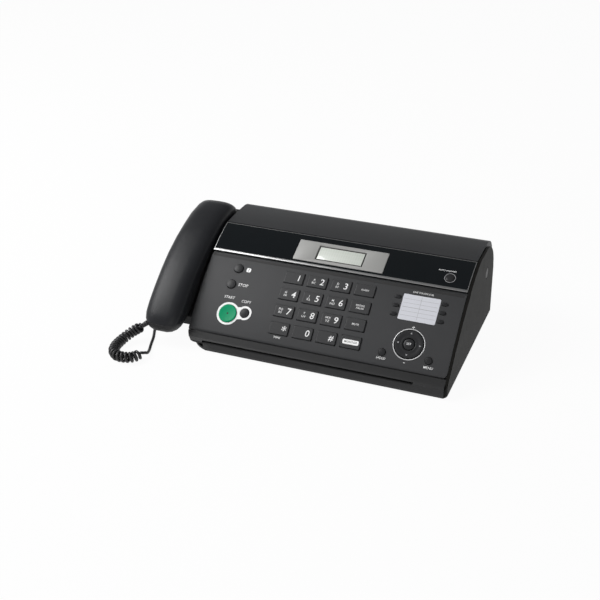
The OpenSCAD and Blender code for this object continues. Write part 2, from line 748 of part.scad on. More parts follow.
// Board under the keys, with the two posts that the navigator's plate pivots on
module key_board() stand() color("green") difference() {
    union() {
        on_chord([(left_x + panel_x1) / 2, 52], key_board_depth)
            block(panel_x1 - left_x - 12, 74, -board_t, 0);
        for (side = [-1, 1]) on_panel(nav_at) translate([0, side * 6.7, 0])
            block(4, 2, -11, nav_pivot_z + 1.5);
    }
    on_panel(nav_at) nav_pegs(10, nav_pin_r + running);
}

module one_touch_card() stand() color("#dcdce6")
    on_panel(card_at) block(card_w, card_l, -card_t, -0.1);

// ---------- buttons ----------

// Height of a flange's top, under the panel and under the band with the panel
flange_top = -panel_t - flange_gap;
band_flange_top = flange_top - band_t;

// The stem reaches down to the board with room for the travel
function stem_z(s) = -(key_board_depth - press - 0.3 + panel_h(s));

module key(at, tint) {
    stand() color(tint) on_panel(at) {
        block(key_w, key_l, flange_top, key_proud);
        block(key_w + 2 * flange_w, key_l + 2 * flange_w, flange_top - flange_t,
            flange_top + eps);
        disc(2, stem_z(at[1]), -panel_t);
    }
}

module round_button(at, r, proud, tint) {
    stand() color(tint) on_panel(at) {
        disc(r, flange_top, proud);
        disc(r + flange_w, flange_top - flange_t, flange_top + eps);
        disc(2, stem_z(at[1]), -panel_t);
    }
}

module one_touch(side, row) {
    stand() color("#3a3b3d") on_panel(touch_at(side, row)) {
        pill(touch_r, touch_l, flange_top, 0.9);
        pill(touch_r + 0.8, touch_l, flange_top - flange_t, flange_top + eps);
        disc(1.5, stem_z(touch_at(side, row)[1]), -panel_t);
    }
}

module answer_button() stand() color("#33353a") on_band(answer_at) {
    disc(answer_r, band_flange_top, 0.9);
    disc(answer_r + flange_w, band_flange_top - flange_t, band_flange_top + eps);
}

nav_top = 1.2;

nav_pivot_z = -7.2;
nav_ring_z = -4.1;
nav_pin_r = 0.8;

// Pegs along the slope that the navigator's plate tilts on
module nav_pegs(reach, r) {
    for (side = [-1, 1]) translate([0, side * 5, nav_pivot_z]) rotate([-90 * side, 0, 0])
        cylinder(h = reach - 5, r = r, $fn = 24);
}

// The plate tilts to left and right on its pegs, and the ring tilts fore and aft on the plate
module nav_rocker_plate() stand() color("#606060") on_panel(nav_at) {
    difference() {
        disc(8.6, -4.6, -3.6);
        disc(3.6, -6, 0);
    }
    for (side = [-1, 1]) {
        translate([side * 8.4, 0, nav_ring_z]) rotate([0, 90 * side, 0])
            cylinder(h = 3.4, r = nav_pin_r, $fn = 24);
        translate([0, side * 4.8, 0]) block(3, 1.2, nav_pivot_z - 1.2, -4.6 + eps);
    }
    nav_pegs(7.6, nav_pin_r);
}

module nav_ring() stand() color("#2c2d30") on_panel(nav_at) difference() {
    union() {
        disc(nav_r, -2.4, nav_top);
        disc(nav_r - 2, -5.4, -2.4 + eps);
    }
    disc(9.4, -6, -2.4);
    disc(set_r + nav_gap, -7, 4);
    for (side = [-1, 1]) translate([side * 9, 0, nav_ring_z]) rotate([0, 90 * side, 0])
        cylinder(h = 3.2, r = nav_pin_r + running, $fn = 24);
}

module set_button() stand() color("#3a3b3d") on_panel(nav_at) {
    disc(set_r, -2.2, nav_top + 0.2);
    disc(3, stem_z(nav_at[1]), -2.2 + eps);
}

module release_button() stand() color("#232325") {
    rod_x(side_x - 6, right_x, release_at, release_r);
    rod_x(side_x - 3.4, side_x - 0.6, release_at, release_r + 2);
}

// ---------- top cover ----------

module cover_outline(t) {
    roof = [cover_roll_y, cover_h];
    polygon(concat(
        [cover_front + [t * 0.6, -5 - t], cover_front + [0, -5]],
        bow(cover_front + [0, 0], roof, 0.8, 4),
        arc([cover_roll_y, cover_h - cover_r], cover_r, 84, 0, 12),
        [cover_hinge + [barrel_r, 0], cover_hinge + [barrel_r - t, 0]],
        arc([cover_roll_y, cover_h - cover_r], cover_r - t, 0, 90, 12),
        [cover_front + [t, -t - 0.6]]));
}

// An end wall of the cover, down to a given edge from the rear to the front
module cover_end(x0, lower) {
    along_x(x0, x0 + 2) polygon(concat(
        [cover_front + [0.6, -1]],
        bow(cover_front + [1, -1], [cover_roll_y, cover_h - 1], 0.8, 4),
        arc([cover_roll_y, cover_h - cover_r], cover_r - 1, 84, 0, 8),
        [[cover_back - 1, cover_h - cover_r - 2]], lower));
}

module top_cover() stand() color("#333436") difference() {
    union() {
        along_x(left_x, panel_x1) cover_outline(wall);
        rod_x(left_x + 1, panel_x1 - 1, cover_hinge, barrel_r - 0.1);
        cover_end(left_x, [[cabinet_d - 8, cover_h - 13], [cover_front[0] + 1 + seam, cover_h - 13]]);
        cover_end(panel_x1 - 2, [[cabinet_d - 5.4, cover_hinge[1] + 0.5], [cabinet_d - 15, cover_h - 14],
            [cabinet_d - 36, cover_h - 9], [cover_front[0] + 1 + seam, cover_h - 9]]);
    }
    for (x = knuckle_x) difference() {
        rod_x(x - knuckle_w / 2 - 0.4, x + knuckle_w / 2 + 0.4, cover_hinge, barrel_r + 0.5);
        rod_x(x - knuckle_w, x + knuckle_w, cover_hinge, pin_r);
    }
}

// ---------- cradle ----------

deck = [[25.6, 24.4], [38, 28.4], [57, 37.3], [118, 64.2], [150, 71.4], [163, 76], [176, 86], [182, 87]];

module handset_cradle() stand() color("#26272a") difference() {
    union() {
        difference() {
            along_x(cradle_x0, left_x) polygon(concat([[25, cradle_lift]], deck,
                [[190, 80], [190, 6], [46, 6]]));
            along_x(cradle_x0 + wall, left_x + 1) polygon(concat([[28, cradle_lift]],
                [for (p = deck) p + [1.4, -2.6]], [[187.5, 76], [187.5, -1], [40, -1]]));
        }
        // Block behind the handset cord's jack
        translate([cradle_x0, jack_at[0] - 8, 6]) cube([14, 16, 12]);
    }
    // Hook switch's hole
    translate([handset_x, hook_y, 40]) block(hook_w + 0.6, hook_l + 0.6, 0, 60);
    translate([cradle_x0 - 1, jack_at[0], jack_at[1]]) rotate([0, 90, 0])
        block(2 * plug_r + 0.4, 2 * plug_r + 0.4, 0, 11);
}

hook_y = 106;
hook_w = 9;
hook_l = 12;
hook_top = 67.4;

module hook_switch() stand() color("#1d1e20") translate([handset_x, hook_y, 0]) {
    block(hook_w, hook_l, 48, hook_top - 4);
    translate([-hook_w / 2, 0, hook_top - 4]) rotate([90, 0, 90])
        linear_extrude(hook_w) polygon([[-hook_l / 2, -eps], [hook_l / 2, -eps],
            [hook_l / 2, 3.6], [-hook_l / 2, 0]]);
}

// ---------- handset ----------

// Sections across the handset, each in a plane through the bow's centre: its angle, the
// depths of its outer and inner faces below the bow, and half its width
handset_half = handset_w / 2;
handset_sections = [
    [137.2, 8.6, 13, 0.35 * handset_half], [136.8, 5, 16, 0.57 * handset_half],
    [136, 2.4, 18.9, 0.76 * handset_half], [134.9, 0.8, 21, 0.89 * handset_half],
    [133.4, 0.1, 23, 0.97 * handset_half], [131.1, 0, 25.5, handset_half],
    [128.9, 0, 30.1, handset_half], [126.9, 0, 32.2, handset_half],
    [124.5, 0, 31.2, handset_half], [122, 0, grip_t + 1, handset_half],
    [118, 0, grip_t - 1, handset_half], [113, 0, grip_t, handset_half],
    [110.6, 0, grip_t + 5, handset_half], [108.5, 0, ear_t - 1, handset_half],
    [104.4, 0.1, ear_t + 2.4, handset_half], [100.3, 2.2, ear_t + 2.4, handset_half],
    [98.6, 4.2, ear_t + 1, 0.99 * handset_half], [97.3, 8.5, ear_t - 1.5, 0.95 * handset_half],
    [96.5, 13.5, ear_t - 5, 0.85 * handset_half], [96.1, 18, ear_t - 9, 0.68 * handset_half]];

// Outline of one section as [x, y, z] points, drawn a wall's depth inside where inset says so
function handset_ring(section, inset) =
    let (outer = section[1] + inset, inner = section[2] - inset, half = section[3] - inset,
        middle = outer + min(13 - inset, (inner - outer) / 2))
    [for (k = [0:27]) let (turn = 360 * k / 28, out = sin(turn) > 0,
            power = 2 / (out ? handset_crown : 5),
            across = sign(cos(turn)) * pow(abs(cos(turn)), power),
            rise = pow(abs(sin(turn)), power),
            p = on_bow(section[0], out ? middle - rise * (middle - outer)
                : middle + rise * (inner - middle)))
        [handset_x + half * across, p[0], p[1]]];

module handset_form(sections, inset) {
    last = len(sections) - 1;
    points = [for (s = sections) each handset_ring(s, inset)];
    walls = [for (i = [0:last - 1], k = [0:27]) let (a = i * 28 + k, b = i * 28 + (k + 1) % 28)
        each [[a, b, b + 28], [a, b + 28, a + 28]]];
    polyhedron(points, concat(walls, [[for (k = [27:-1:0]) k], [for (k = [0:27]) last * 28 + k]]));
}

// The parting line between the two shells
function parting() = concat([[-20, 26]], [for (a = [134:-6:104]) on_bow(a, 13)],
    [[150, 94], [190, 92]]);

module handset_solid() {
    handset_form(handset_sections, 0);
}

// The hollow stops a section short of each end, so that the ends are closed
module handset_hollow() {
    handset_form([for (i = [3:16]) handset_sections[i]], handset_wall);
}

module handset_outer_shell() stand() color("#2f3033") intersection() {
    difference() {
        handset_solid();
        handset_hollow();
    }
    along_x(handset_x0 - 1, handset_x1 + 1)
        polygon(concat(parting(), [[190, 140], [-20, 140]]));
}

module handset_inner_shell() stand() color("#26272a") difference() {
    intersection() {
        handset_solid();
        along_x(handset_x0 - 1, handset_x1 + 1)
            polygon(concat(reverse(parting()), [[-20, 0], [190, 0]]));
    }
    handset_hollow();
}

// The two capsules stand on the inner shell's floor
module earpiece_and_microphone() stand() color("#505050") {
    translate([handset_x, 144, 76]) rotate([14, 0, 0]) disc(14, -1.2, 9);
    translate([handset_x, 34, 33]) rotate([14, 0, 0]) disc(5, -1.5, 6);
}

// ---------- handset cord ----------

curl_r = curl_d / 2;
lead_r = cord_d / 2;
curl_z = curl_r - foot_h;
lead_z = lead_r - foot_h;
plug_r = 3;

// Middle line of the curls from the handset round to the lead, as [x, y, z]
curl_route = [[-195.6, 0.9, 21.2], [-198.8, -1.2, 19], [-203, -3.6, 16], [-208.5, -5, 12.5],
    [-213.5, -8.5, 9], [-217, -14, 6.5], [-219, -21, 5], [-219, -31, curl_z],
    [-215.5, -41, curl_z], [-207.5, -48, curl_z], [-198.5, -48.5, curl_z],
    [-191, -46, curl_z], [-186, -40, curl_z], [-182, -33, curl_z]];
// Middle line of the straight lead, from the curls along the desk to the jack
lead_route = [[-181.2, -31.4, curl_z - 0.4], [-181, -28, lead_z + 1], [-184, -18, lead_z],
    [-187.5, -8, lead_z], [-192, 6, lead_z], [-198, 20, lead_z], [-203, 32, 1.5],
    [-206, 42, 5], [-205.5, 48.5, 9.5], [-202.5, 51.6, jack_at[1] - 0.4],
    [cradle_x0 - 3, jack_at[0], jack_at[1]]];
// Middle line of the plug in the jack
plug_route = [[cradle_x0 - 2.9, jack_at[0], jack_at[1]], [cradle_x0 + 7, jack_at[0], jack_at[1]]];

// Direction of a route at one of its points
function heading(route, i) =
    let (a = route[max(0, i - 1)], b = route[min(len(route) - 1, i + 1)]) (b - a) / norm(b - a);

function ring(route, i, r, sides) =
    let (t = heading(route, i), side = cross(t, [0, 0, 1]), u = side / norm(side), v = cross(u, t))
    [for (k = [0:sides - 1]) route[i] + r * (cos(360 * k / sides) * u + sin(360 * k / sides) * v)];

// A tube along a route, with its own radius at each point
module tube(route, radii, sides) {
    last = len(route) - 1;
    points = [for (i = [0:last]) each ring(route, i, radii[i], sides)];
    walls = [for (i = [0:last - 1], k = [0:sides - 1])
        [i * sides + k, i * sides + (k + 1) % sides, (i + 1) * sides + (k + 1) % sides,
            (i + 1) * sides + k]];
    polyhedron(points, concat(walls, [[for (k = [sides - 1:-1:0]) k],
        [for (k = [0:sides - 1]) last * sides + k]]));
}

module handset_cord() stand() color("#1c1c1e")
    tube(concat(curl_route, lead_route, plug_route),
        concat([curl_r / 2], [for (i = [2:len(curl_route)]) curl_r], [for (p = lead_route) lead_r],
            [for (p = plug_route) plug_r]), 10);

// ---------- assembly ----------

bottom_cabinet();
right_side_cover();
handset_cradle();
chassis_frame();
rubber_feet();
case_screws();
main_board();
power_supply();
thermal_head();
image_sensor();
drive_motor();
speaker();
hook_switch();
platen_roller();
feed_roller();
paper_roll();
motor_pinion();
release_button();
operation_panel();
display_band();
lcd_module();
key_board();
one_touch_card();
nav_rocker_plate();
nav_ring();
set_button();
top_cover();
handset_outer_shell();
handset_inner_shell();
earpiece_and_microphone();
handset_cord();
key(key_at(0, 3), "#34363a");  // key_1
key(key_at(1, 3), "#34363a");  // key_2
key(key_at(2, 3), "#34363a");  // key_3
key(key_at(3, 3), "#34363a");  // key_flash
key(key_at(0, 2), "#34363a");  // key_4
key(key_at(1, 2), "#34363a");  // key_5
key(key_at(2, 2), "#34363a");  // key_6
key(key_at(3, 2), "#34363a");  // key_redial
key(key_at(0, 1), "#34363a");  // key_7
key(key_at(1, 1), "#34363a");  // key_8
key(key_at(2, 1), "#34363a");  // key_9
key(key_at(3, 1), "#34363a");  // key_mute
key(key_at(0, 0), "#34363a");  // key_star
key(key_at(1, 0), "#34363a");  // key_0
key(key_at(2, 0), "#34363a");  // key_hash
key(key_at(3, 0), "#34363a");  // key_monitor
round_button(help_at, service_r, 1.2, "#3a3c40");  // help_button
round_button(stop_at, service_r, 1.2, "#3a3c40");  // stop_button
round_button(start_at, start_r, 1.6, "#12a482");  // start_button
round_button(copy_at, copy_r, 1.2, "#3a3c40");  // copy_button
answer_button();
round_button(menu_at, small_r, 1.1, "#3a3c40");  // menu_button
round_button(broadcast_at, small_r, 1.1, "#3a3c40");  // broadcast_button
one_touch(0, 2);  // one_touch_1
one_touch(0, 1);  // one_touch_2
one_touch(0, 0);  // one_touch_3
one_touch(1, 2);  // one_touch_4
one_touch(1, 1);  // one_touch_5
one_touch(1, 0);  // one_touch_6
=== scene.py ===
"""Dresses the desk fax machine: finer mouldings, keys, legends, trims, cord and finishes."""

import json
import logging
import math
from dataclasses import dataclass
from enum import Enum
from typing import Callable, Iterable, Sequence

import bmesh
import bpy
from mathutils import Matrix, Vector
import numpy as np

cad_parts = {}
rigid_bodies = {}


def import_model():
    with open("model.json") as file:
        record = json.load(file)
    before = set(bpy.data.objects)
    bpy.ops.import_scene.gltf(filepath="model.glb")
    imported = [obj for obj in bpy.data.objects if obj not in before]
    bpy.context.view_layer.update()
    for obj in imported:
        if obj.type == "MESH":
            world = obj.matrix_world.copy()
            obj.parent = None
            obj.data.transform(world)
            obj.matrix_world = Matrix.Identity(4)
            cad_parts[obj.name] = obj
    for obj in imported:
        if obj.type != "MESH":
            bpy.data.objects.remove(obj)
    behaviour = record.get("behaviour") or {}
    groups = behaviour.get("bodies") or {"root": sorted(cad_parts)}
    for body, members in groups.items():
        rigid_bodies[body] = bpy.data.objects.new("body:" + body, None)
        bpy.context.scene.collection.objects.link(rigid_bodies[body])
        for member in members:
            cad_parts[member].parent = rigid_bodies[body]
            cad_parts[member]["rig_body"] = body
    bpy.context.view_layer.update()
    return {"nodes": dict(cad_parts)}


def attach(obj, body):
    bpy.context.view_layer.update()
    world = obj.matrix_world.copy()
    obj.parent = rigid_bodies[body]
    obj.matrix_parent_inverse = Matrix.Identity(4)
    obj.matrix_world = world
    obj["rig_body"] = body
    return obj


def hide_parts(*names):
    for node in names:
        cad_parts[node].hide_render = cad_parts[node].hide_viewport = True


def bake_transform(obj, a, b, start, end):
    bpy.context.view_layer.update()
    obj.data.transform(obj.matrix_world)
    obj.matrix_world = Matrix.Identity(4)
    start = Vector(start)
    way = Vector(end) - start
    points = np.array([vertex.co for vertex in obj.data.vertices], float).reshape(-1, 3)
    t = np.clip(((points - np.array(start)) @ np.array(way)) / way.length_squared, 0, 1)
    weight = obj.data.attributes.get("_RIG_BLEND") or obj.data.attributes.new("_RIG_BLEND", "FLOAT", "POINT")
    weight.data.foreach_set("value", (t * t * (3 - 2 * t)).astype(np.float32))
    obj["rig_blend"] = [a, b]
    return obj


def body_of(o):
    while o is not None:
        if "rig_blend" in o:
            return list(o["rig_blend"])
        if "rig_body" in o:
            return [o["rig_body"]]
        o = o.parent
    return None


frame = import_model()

MM = 0.001
LOG = logging.getLogger("fax_machine")

Point = tuple[float, float, float]
Colour = tuple[float, float, float]


# ---------- places on the machine ----------


def row(x: float, y: float, z: float) -> Vector:
    """Turns the machine's own millimetres into the shared frame's metres.

    Args:
        x: Millimetres to the right of the cabinet's middle.
        y: Millimetres behind its front edge.
        z: Millimetres above its underside.

    Returns:
        The point in the shared frame.
    """
    return Vector((x + 25.0, y - 96.75, z + 1.5)) * MM


@dataclass(frozen=True)
class Slope:
    """A bowed sloping face of the cabinet, measured in millimetres along its chord."""

    foot: tuple[float, float]
    length: float
    pitch: float
    rise: float

    def height(self, s: float) -> float:
        """Gives the bow's height over the chord at a slope position."""
        t = s / self.length
        return 4 * self.rise * t * (1 - t)

    def tilt(self, s: float) -> float:
        """Gives the face's pitch at a slope position, in radians."""
        lean = 4 * self.rise / self.length * (1 - 2 * s / self.length)
        return math.radians(self.pitch) + math.atan(lean)

    def surface(self, x: float, s: float, lift: float = 0.0) -> Vector:
        """Finds a point over the bowed face.

        Args:
            x: Millimetres to the right of the cabinet's middle.
            s: Millimetres up the slope from its foot.
            lift: Millimetres above the face.

        Returns:
            The point in the shared frame.
        """
        a, p = self.tilt(s), math.radians(self.pitch)
        h = self.height(s)
        y = self.foot[0] + s * math.cos(p) - h * math.sin(p) - lift * math.sin(a)
        z = self.foot[1] + s * math.sin(p) + h * math.cos(p) + lift * math.cos(a)
        return row(x, y, z)

    def seat(self, x: float, s: float) -> Matrix:
        """Gives the matrix that sets a millimetre form on the face, with Z along its normal."""
        return (Matrix.Translation(self.surface(x, s))
                @ Matrix.Rotation(self.tilt(s), 4, "X") @ Matrix.Scale(MM, 4))


PANEL = Slope(foot=(12.0, 16.5), length=94.7, pitch=39.9, rise=2.7)
BAND = Slope(foot=(86.9504, 80.7455), length=41.8, pitch=23.2, rise=1.2)
MACHINE = Matrix.Translation(row(0, 0, 0)) @ Matrix.Scale(MM, 4)


# ---------- forms ----------


class Form:
    """A bmesh in millimetres with the shaping steps that the pieces share."""

    def __init__(self) -> None:
        """Starts an empty form."""
        self.bm = bmesh.new()

    def block(self, size: Point, centre: Point, cuts: int = 0) -> list:
        """Adds a box.

        Args:
            size: Its three sides.
            centre: Its middle.
            cuts: How often each edge is divided.

        Returns:
            The new vertices.
        """
        made = bmesh.ops.create_cube(self.bm, size=1.0)["verts"]
        bmesh.ops.scale(self.bm, vec=size, verts=made)
        bmesh.ops.translate(self.bm, vec=centre, verts=made)
        if cuts:
            edges = list({e for v in made for e in v.link_edges})
            out = bmesh.ops.subdivide_edges(self.bm, edges=edges, cuts=cuts, use_grid_fill=True)
            made = list({*made, *(g for g in out["geom"] if isinstance(g, bmesh.types.BMVert))})
        return made

    def rod(self, radius: float, start: Point, end: Point, sides: int = 32,
            end_radius: float | None = None) -> list:
        """Adds a closed cylinder or cone between two points.

        Args:
            radius: Radius at the start.
            start: Middle of the first end.
            end: Middle of the second end.
            sides: Number of sides.
            end_radius: Radius at the second end, where it differs.

        Returns:
            The new vertices.
        """
        a, b = Vector(start), Vector(end)
        made = bmesh.ops.create_cone(
            self.bm, cap_ends=True, segments=sides, radius1=radius,
            radius2=radius if end_radius is None else end_radius, depth=(b - a).length)["verts"]
        turn = (b - a).to_track_quat("Z", "Y").to_matrix().to_4x4()
        bmesh.ops.transform(self.bm, matrix=Matrix.Translation((a + b) / 2) @ turn, verts=made)
        return made

    def turned(self, profile: Sequence[tuple[float, float]], steps: int = 48) -> list:
        """Spins a profile of (radius, height) points round Z into a closed form.

        Args:
            profile: The points, from the axis out and back to the axis, or a closed loop.
            steps: Number of steps in the full turn.

        Returns:
            The new vertices.
        """
        ring = [self.bm.verts.new((r, 0.0, h)) for r, h in profile]
        edges = [self.bm.edges.new(pair) for pair in zip(ring, ring[1:])]
        if profile[0][0] > 1e-6:
            edges.append(self.bm.edges.new((ring[-1], ring[0])))
        before = set(self.bm.verts)
        bmesh.ops.spin(self.bm, geom=[*ring, *edges], cent=(0, 0, 0), axis=(0, 0, 1),
                       angle=math.tau, steps=steps, use_merge=True, use_duplicate=False)
        made = [v for v in self.bm.verts if v in ring or v not in before]
        bmesh.ops.remove_doubles(self.bm, verts=made, dist=1e-4)
        return [v for v in made if v.is_valid]

    def slab(self, outline: Sequence[tuple[float, float]], low: float, high: float) -> list:
        """Extrudes a flat outline along Z.

        Args:
            outline: Its (x, y) corners in order.
            low: Height of the underside.
            high: Height of the top.

        Returns:
            The new vertices.
        """
        corners = [self.bm.verts.new((x, y, low)) for x, y in outline]
        face = self.bm.faces.new(corners)
        out = bmesh.ops.extrude_face_region(self.bm, geom=[face])
        top = [g for g in out["geom"] if isinstance(g, bmesh.types.BMVert)]
        bmesh.ops.translate(self.bm, vec=(0, 0, high - low), verts=top)
        return [*corners, *top]

    def soften(self, pick: Callable[[bmesh.types.BMEdge], bool], width: float,
               segments: int = 3) -> None:
        """Rounds the edges that a test picks.

        Args:
            pick: Says of an edge whether it is rounded.
            width: Width of the rounding.
            segments: Number of segments in it.
        """
        edges = [e for e in self.bm.edges if len(e.link_faces) == 2 and pick(e)]
        bmesh.ops.bevel(self.bm, geom=edges, offset=width, offset_type="OFFSET", affect="EDGES",
                        segments=segments, profile=0.5, material=-1, clamp_overlap=True)

    def sharp(self, degrees: float = 35.0) -> Callable[[bmesh.types.BMEdge], bool]:
        """Makes a test for edges that turn by more than an angle."""
        limit = math.radians(degrees)
        return lambda e: e.calc_face_angle(0.0) > limit

    def shift(self, matrix: Matrix, verts: Iterable | None = None) -> None:
        """Moves vertices, or the whole form, by a matrix."""
        bmesh.ops.transform(self.bm, matrix=matrix,
                            verts=list(self.bm.verts if verts is None else verts))

    def lay(self, slope: Slope) -> None:
        """Bends a form drawn as (x, s, lift) onto a bowed face, into the shared frame."""
        for v in self.bm.verts:
            v.co = slope.surface(*v.co)

    def outward(self, faces: Iterable[bmesh.types.BMFace] | None = None) -> None:
        """Turns the given faces outward, or all of them."""
        bmesh.ops.recalc_face_normals(self.bm, faces=list(faces or self.bm.faces))

    def face_up(self) -> None:
        """Turns every face of a flat print to face up."""
        for f in self.bm.faces:
            if f.normal.z < 0:
                f.normal_flip()

    @classmethod
    def reopened(cls, piece: bpy.types.Object) -> "Form":
        """Takes a finished object back as a form, and removes the object."""
        form = cls()
        form.bm.from_mesh(piece.data)
        bpy.data.objects.remove(piece)
        return form

    def added(self, known: set[bmesh.types.BMFace]) -> list[bmesh.types.BMFace]:
        """Gives the faces that aren't among the known ones."""
        return [f for f in self.bm.faces if f not in known]

    def tag(self, index: int, known: set[bmesh.types.BMFace]) -> None:
        """Gives the faces that aren't among the known ones a material index."""
        for f in self.added(known):
            f.material_index = index

    def text(self, words: str, size: float, at: tuple[float, float], lift: float,
             lean: float = 0.0, weight: float = 0.0, spread: float = 1.0) -> None:
        """Adds flat characters, centred on a place.

        Args:
            words: The characters.
            size: Their height.
            at: The (x, y) middle.
            lift: Height of the print.
            lean: How far they lean.
            weight: Extra thickness of the strokes.
            spread: Spacing between characters.
        """
        curve = bpy.data.curves.new("print", "FONT")
        curve.body, curve.size, curve.shear = words, size * 1.4, lean
        curve.offset, curve.space_character = weight, spread
        curve.align_x, curve.align_y, curve.resolution_u = "CENTER", "CENTER", 3
        carrier = bpy.data.objects.new("print", curve)
        bpy.context.scene.collection.objects.link(carrier)
        bpy.context.view_layer.update()
        mesh = bpy.data.meshes.new_from_object(
            carrier.evaluated_get(bpy.context.evaluated_depsgraph_get()))
        mesh.transform(Matrix.Translation((at[0], at[1], lift)))
        self.bm.from_mesh(mesh)
        bpy.data.objects.remove(carrier)
        bpy.data.meshes.remove(mesh)
        bpy.data.curves.remove(curve)

    def finish(self, name: str, finishes: Sequence[bpy.types.Material],
               smooth: float = 32.0, outward: bool = True) -> bpy.types.Object:
        """Turns the form into an object at the origin.

        Args:
            name: The piece's name.
            finishes: Its materials in order.
            smooth: Edges that turn by less than this many degrees are shaded smooth.
            outward: Whether the faces are turned outward first.

        Returns:
            The new object.
        """
        if outward:
            self.outward()
        limit = math.radians(smooth)
        for f in self.bm.faces:
            f.smooth = True
        for e in self.bm.edges:
            e.smooth = len(e.link_faces) == 2 and e.calc_face_angle(0.0) < limit
        mesh = bpy.data.meshes.new(name)
        self.bm.to_mesh(mesh)
        self.bm.free()
        for m in finishes:
            mesh.materials.append(m)
        piece = bpy.data.objects.new(name, mesh)
        bpy.context.scene.collection.objects.link(piece)
        return piece


class Cut(Enum):
    """What a tool does to the piece it meets."""

    AWAY = "DIFFERENCE"
    JOIN = "UNION"


def carve(piece: bpy.types.Object, tool: bpy.types.Object, how: Cut) -> None:
    """Cuts or joins a piece with a tool, and removes the tool.

    Args:
        piece: The object that is kept.
        tool: The object that is used up.
        how: What the tool does.
    """
    cut = piece.modifiers.new("carve", "BOOLEAN")
    cut.object, cut.operation, cut.solver = tool, how.value, "EXACT"
    bpy.context.view_layer.update()
    made = bpy.data.meshes.new_from_object(
        piece.evaluated_get(bpy.context.evaluated_depsgraph_get()))
    piece.modifiers.clear()
    old, piece.data = piece.data, made
    bpy.data.meshes.remove(old)
    bpy.data.objects.remove(tool)


def copy_of(node: str) -> Form:
    """Starts a form, in metres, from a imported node's own mesh with its doubles merged."""
    form = Form()
    form.bm.from_mesh(frame["nodes"][node].data)
    bmesh.ops.remove_doubles(form.bm, verts=list(form.bm.verts), dist=2e-6)
    bmesh.ops.dissolve_limit(form.bm, angle_limit=math.radians(0.6), verts=list(form.bm.verts),
                             edges=list(form.bm.edges), use_dissolve_boundaries=False)
    return form


# ---------- finishes ----------


def sockets(tree: bpy.types.NodeTree, way: str, names: dict[str, tuple[str, object]]) -> None:
    """Makes a group's sockets.

    Args:
        tree: The node group.
        way: INPUT or OUTPUT.
        names: Socket name to its type and default value.
    """
    for name, (kind, value) in names.items():
        made = tree.interface.new_socket(name=name, in_out=way, socket_type=kind)
        if value is not None:
            made.default_value = value


def grain_group() -> bpy.types.NodeTree:
    """Builds the moulded grain: a fine spark texture, soft tone drift and faint scuffs."""
    tree = bpy.data.node_groups.new("moulded_grain", "ShaderNodeTree")
    sockets(tree, "INPUT", {
        "Colour": ("NodeSocketColor", (0.05, 0.05, 0.05, 1)),
        "Vector": ("NodeSocketVector", None),
        "Grain Scale": ("NodeSocketFloat", 1800.0),
        "Roughness": ("NodeSocketFloat", 0.4),
        "Drift": ("NodeSocketFloat", 0.12),
        "Scuff": ("NodeSocketFloat", 0.05),
        "Dust": ("NodeSocketFloat", 0.02)})
    sockets(tree, "OUTPUT", {
        "Colour": ("NodeSocketColor", None), "Roughness": ("NodeSocketFloat", None),
        "Height": ("NodeSocketFloat", None)})
    n, link = tree.nodes, tree.links.new
    given, out = n.new("NodeGroupInput"), n.new("NodeGroupOutput")
    grain, cloud, streak = (n.new("ShaderNodeTexNoise") for _ in range(3))
    grain.inputs["Detail"].default_value = 2.0
    cloud.inputs["Scale"].default_value = 14.0
    cloud.inputs["Detail"].default_value = 4.0
    streak.inputs["Scale"].default_value = 60.0
    streak.inputs["Detail"].default_value = 6.0
    streak.inputs["Distortion"].default_value = 1.6
    for tex in (grain, cloud, streak):
        link(given.outputs["Vector"], tex.inputs["Vector"])
    link(given.outputs["Grain Scale"], grain.inputs["Scale"])
    tone = n.new("ShaderNodeMapRange")
    tone.inputs["From Min"].default_value, tone.inputs["From Max"].default_value = 0.3, 0.7
    link(cloud.outputs["Fac"], tone.inputs["Value"])
    swing = n.new("ShaderNodeMath"); swing.operation = "MULTIPLY"
    link(tone.outputs["Result"], swing.inputs[0]); link(given.outputs["Drift"], swing.inputs[1])
    lighter = n.new("ShaderNodeMix"); lighter.data_type, lighter.blend_type = "RGBA", "SCREEN"
    link(swing.outputs[0], lighter.inputs["Factor"])
    link(given.outputs["Colour"], lighter.inputs["A"])
    link(given.outputs["Colour"], lighter.inputs["B"])
    geometry, split = n.new("ShaderNodeNewGeometry"), n.new("ShaderNodeSeparateXYZ")
    link(geometry.outputs["Normal"], split.inputs[0])
    settle = n.new("ShaderNodeMapRange")
    settle.inputs["From Min"].default_value = 0.6
    link(split.outputs["Z"], settle.inputs["Value"])
    dust = n.new("ShaderNodeMath"); dust.operation = "MULTIPLY"
    link(settle.outputs["Result"], dust.inputs[0]); link(given.outputs["Dust"], dust.inputs[1])
    patch = n.new("ShaderNodeMath"); patch.operation = "MULTIPLY"
    link(dust.outputs[0], patch.inputs[0]); link(streak.outputs["Fac"], patch.inputs[1])
    dusty = n.new("ShaderNodeMix"); dusty.data_type = "RGBA"
    dusty.inputs["B"].default_value = (0.45, 0.43, 0.40, 1)
    link(patch.outputs[0], dusty.inputs["Factor"])
    link(lighter.outputs["Result"], dusty.inputs["A"])
    link(dusty.outputs["Result"], out.inputs["Colour"])
    scuff = n.new("ShaderNodeMath"); scuff.operation = "MULTIPLY_ADD"
    link(streak.outputs["Fac"], scuff.inputs[0]); link(given.outputs["Scuff"], scuff.inputs[1])
    link(given.outputs["Roughness"], scuff.inputs[2])
    link(scuff.outputs[0], out.inputs["Roughness"])
    link(grain.outputs["Fac"], out.inputs["Height"])
    return tree


GROUPS: dict[str, bpy.types.NodeTree] = {}


def shared(name: str, build: Callable[[], bpy.types.NodeTree]) -> bpy.types.NodeTree:
    """Gives a shared node group, built at its first use."""
    if name not in GROUPS:
        GROUPS[name] = build()
    return GROUPS[name]


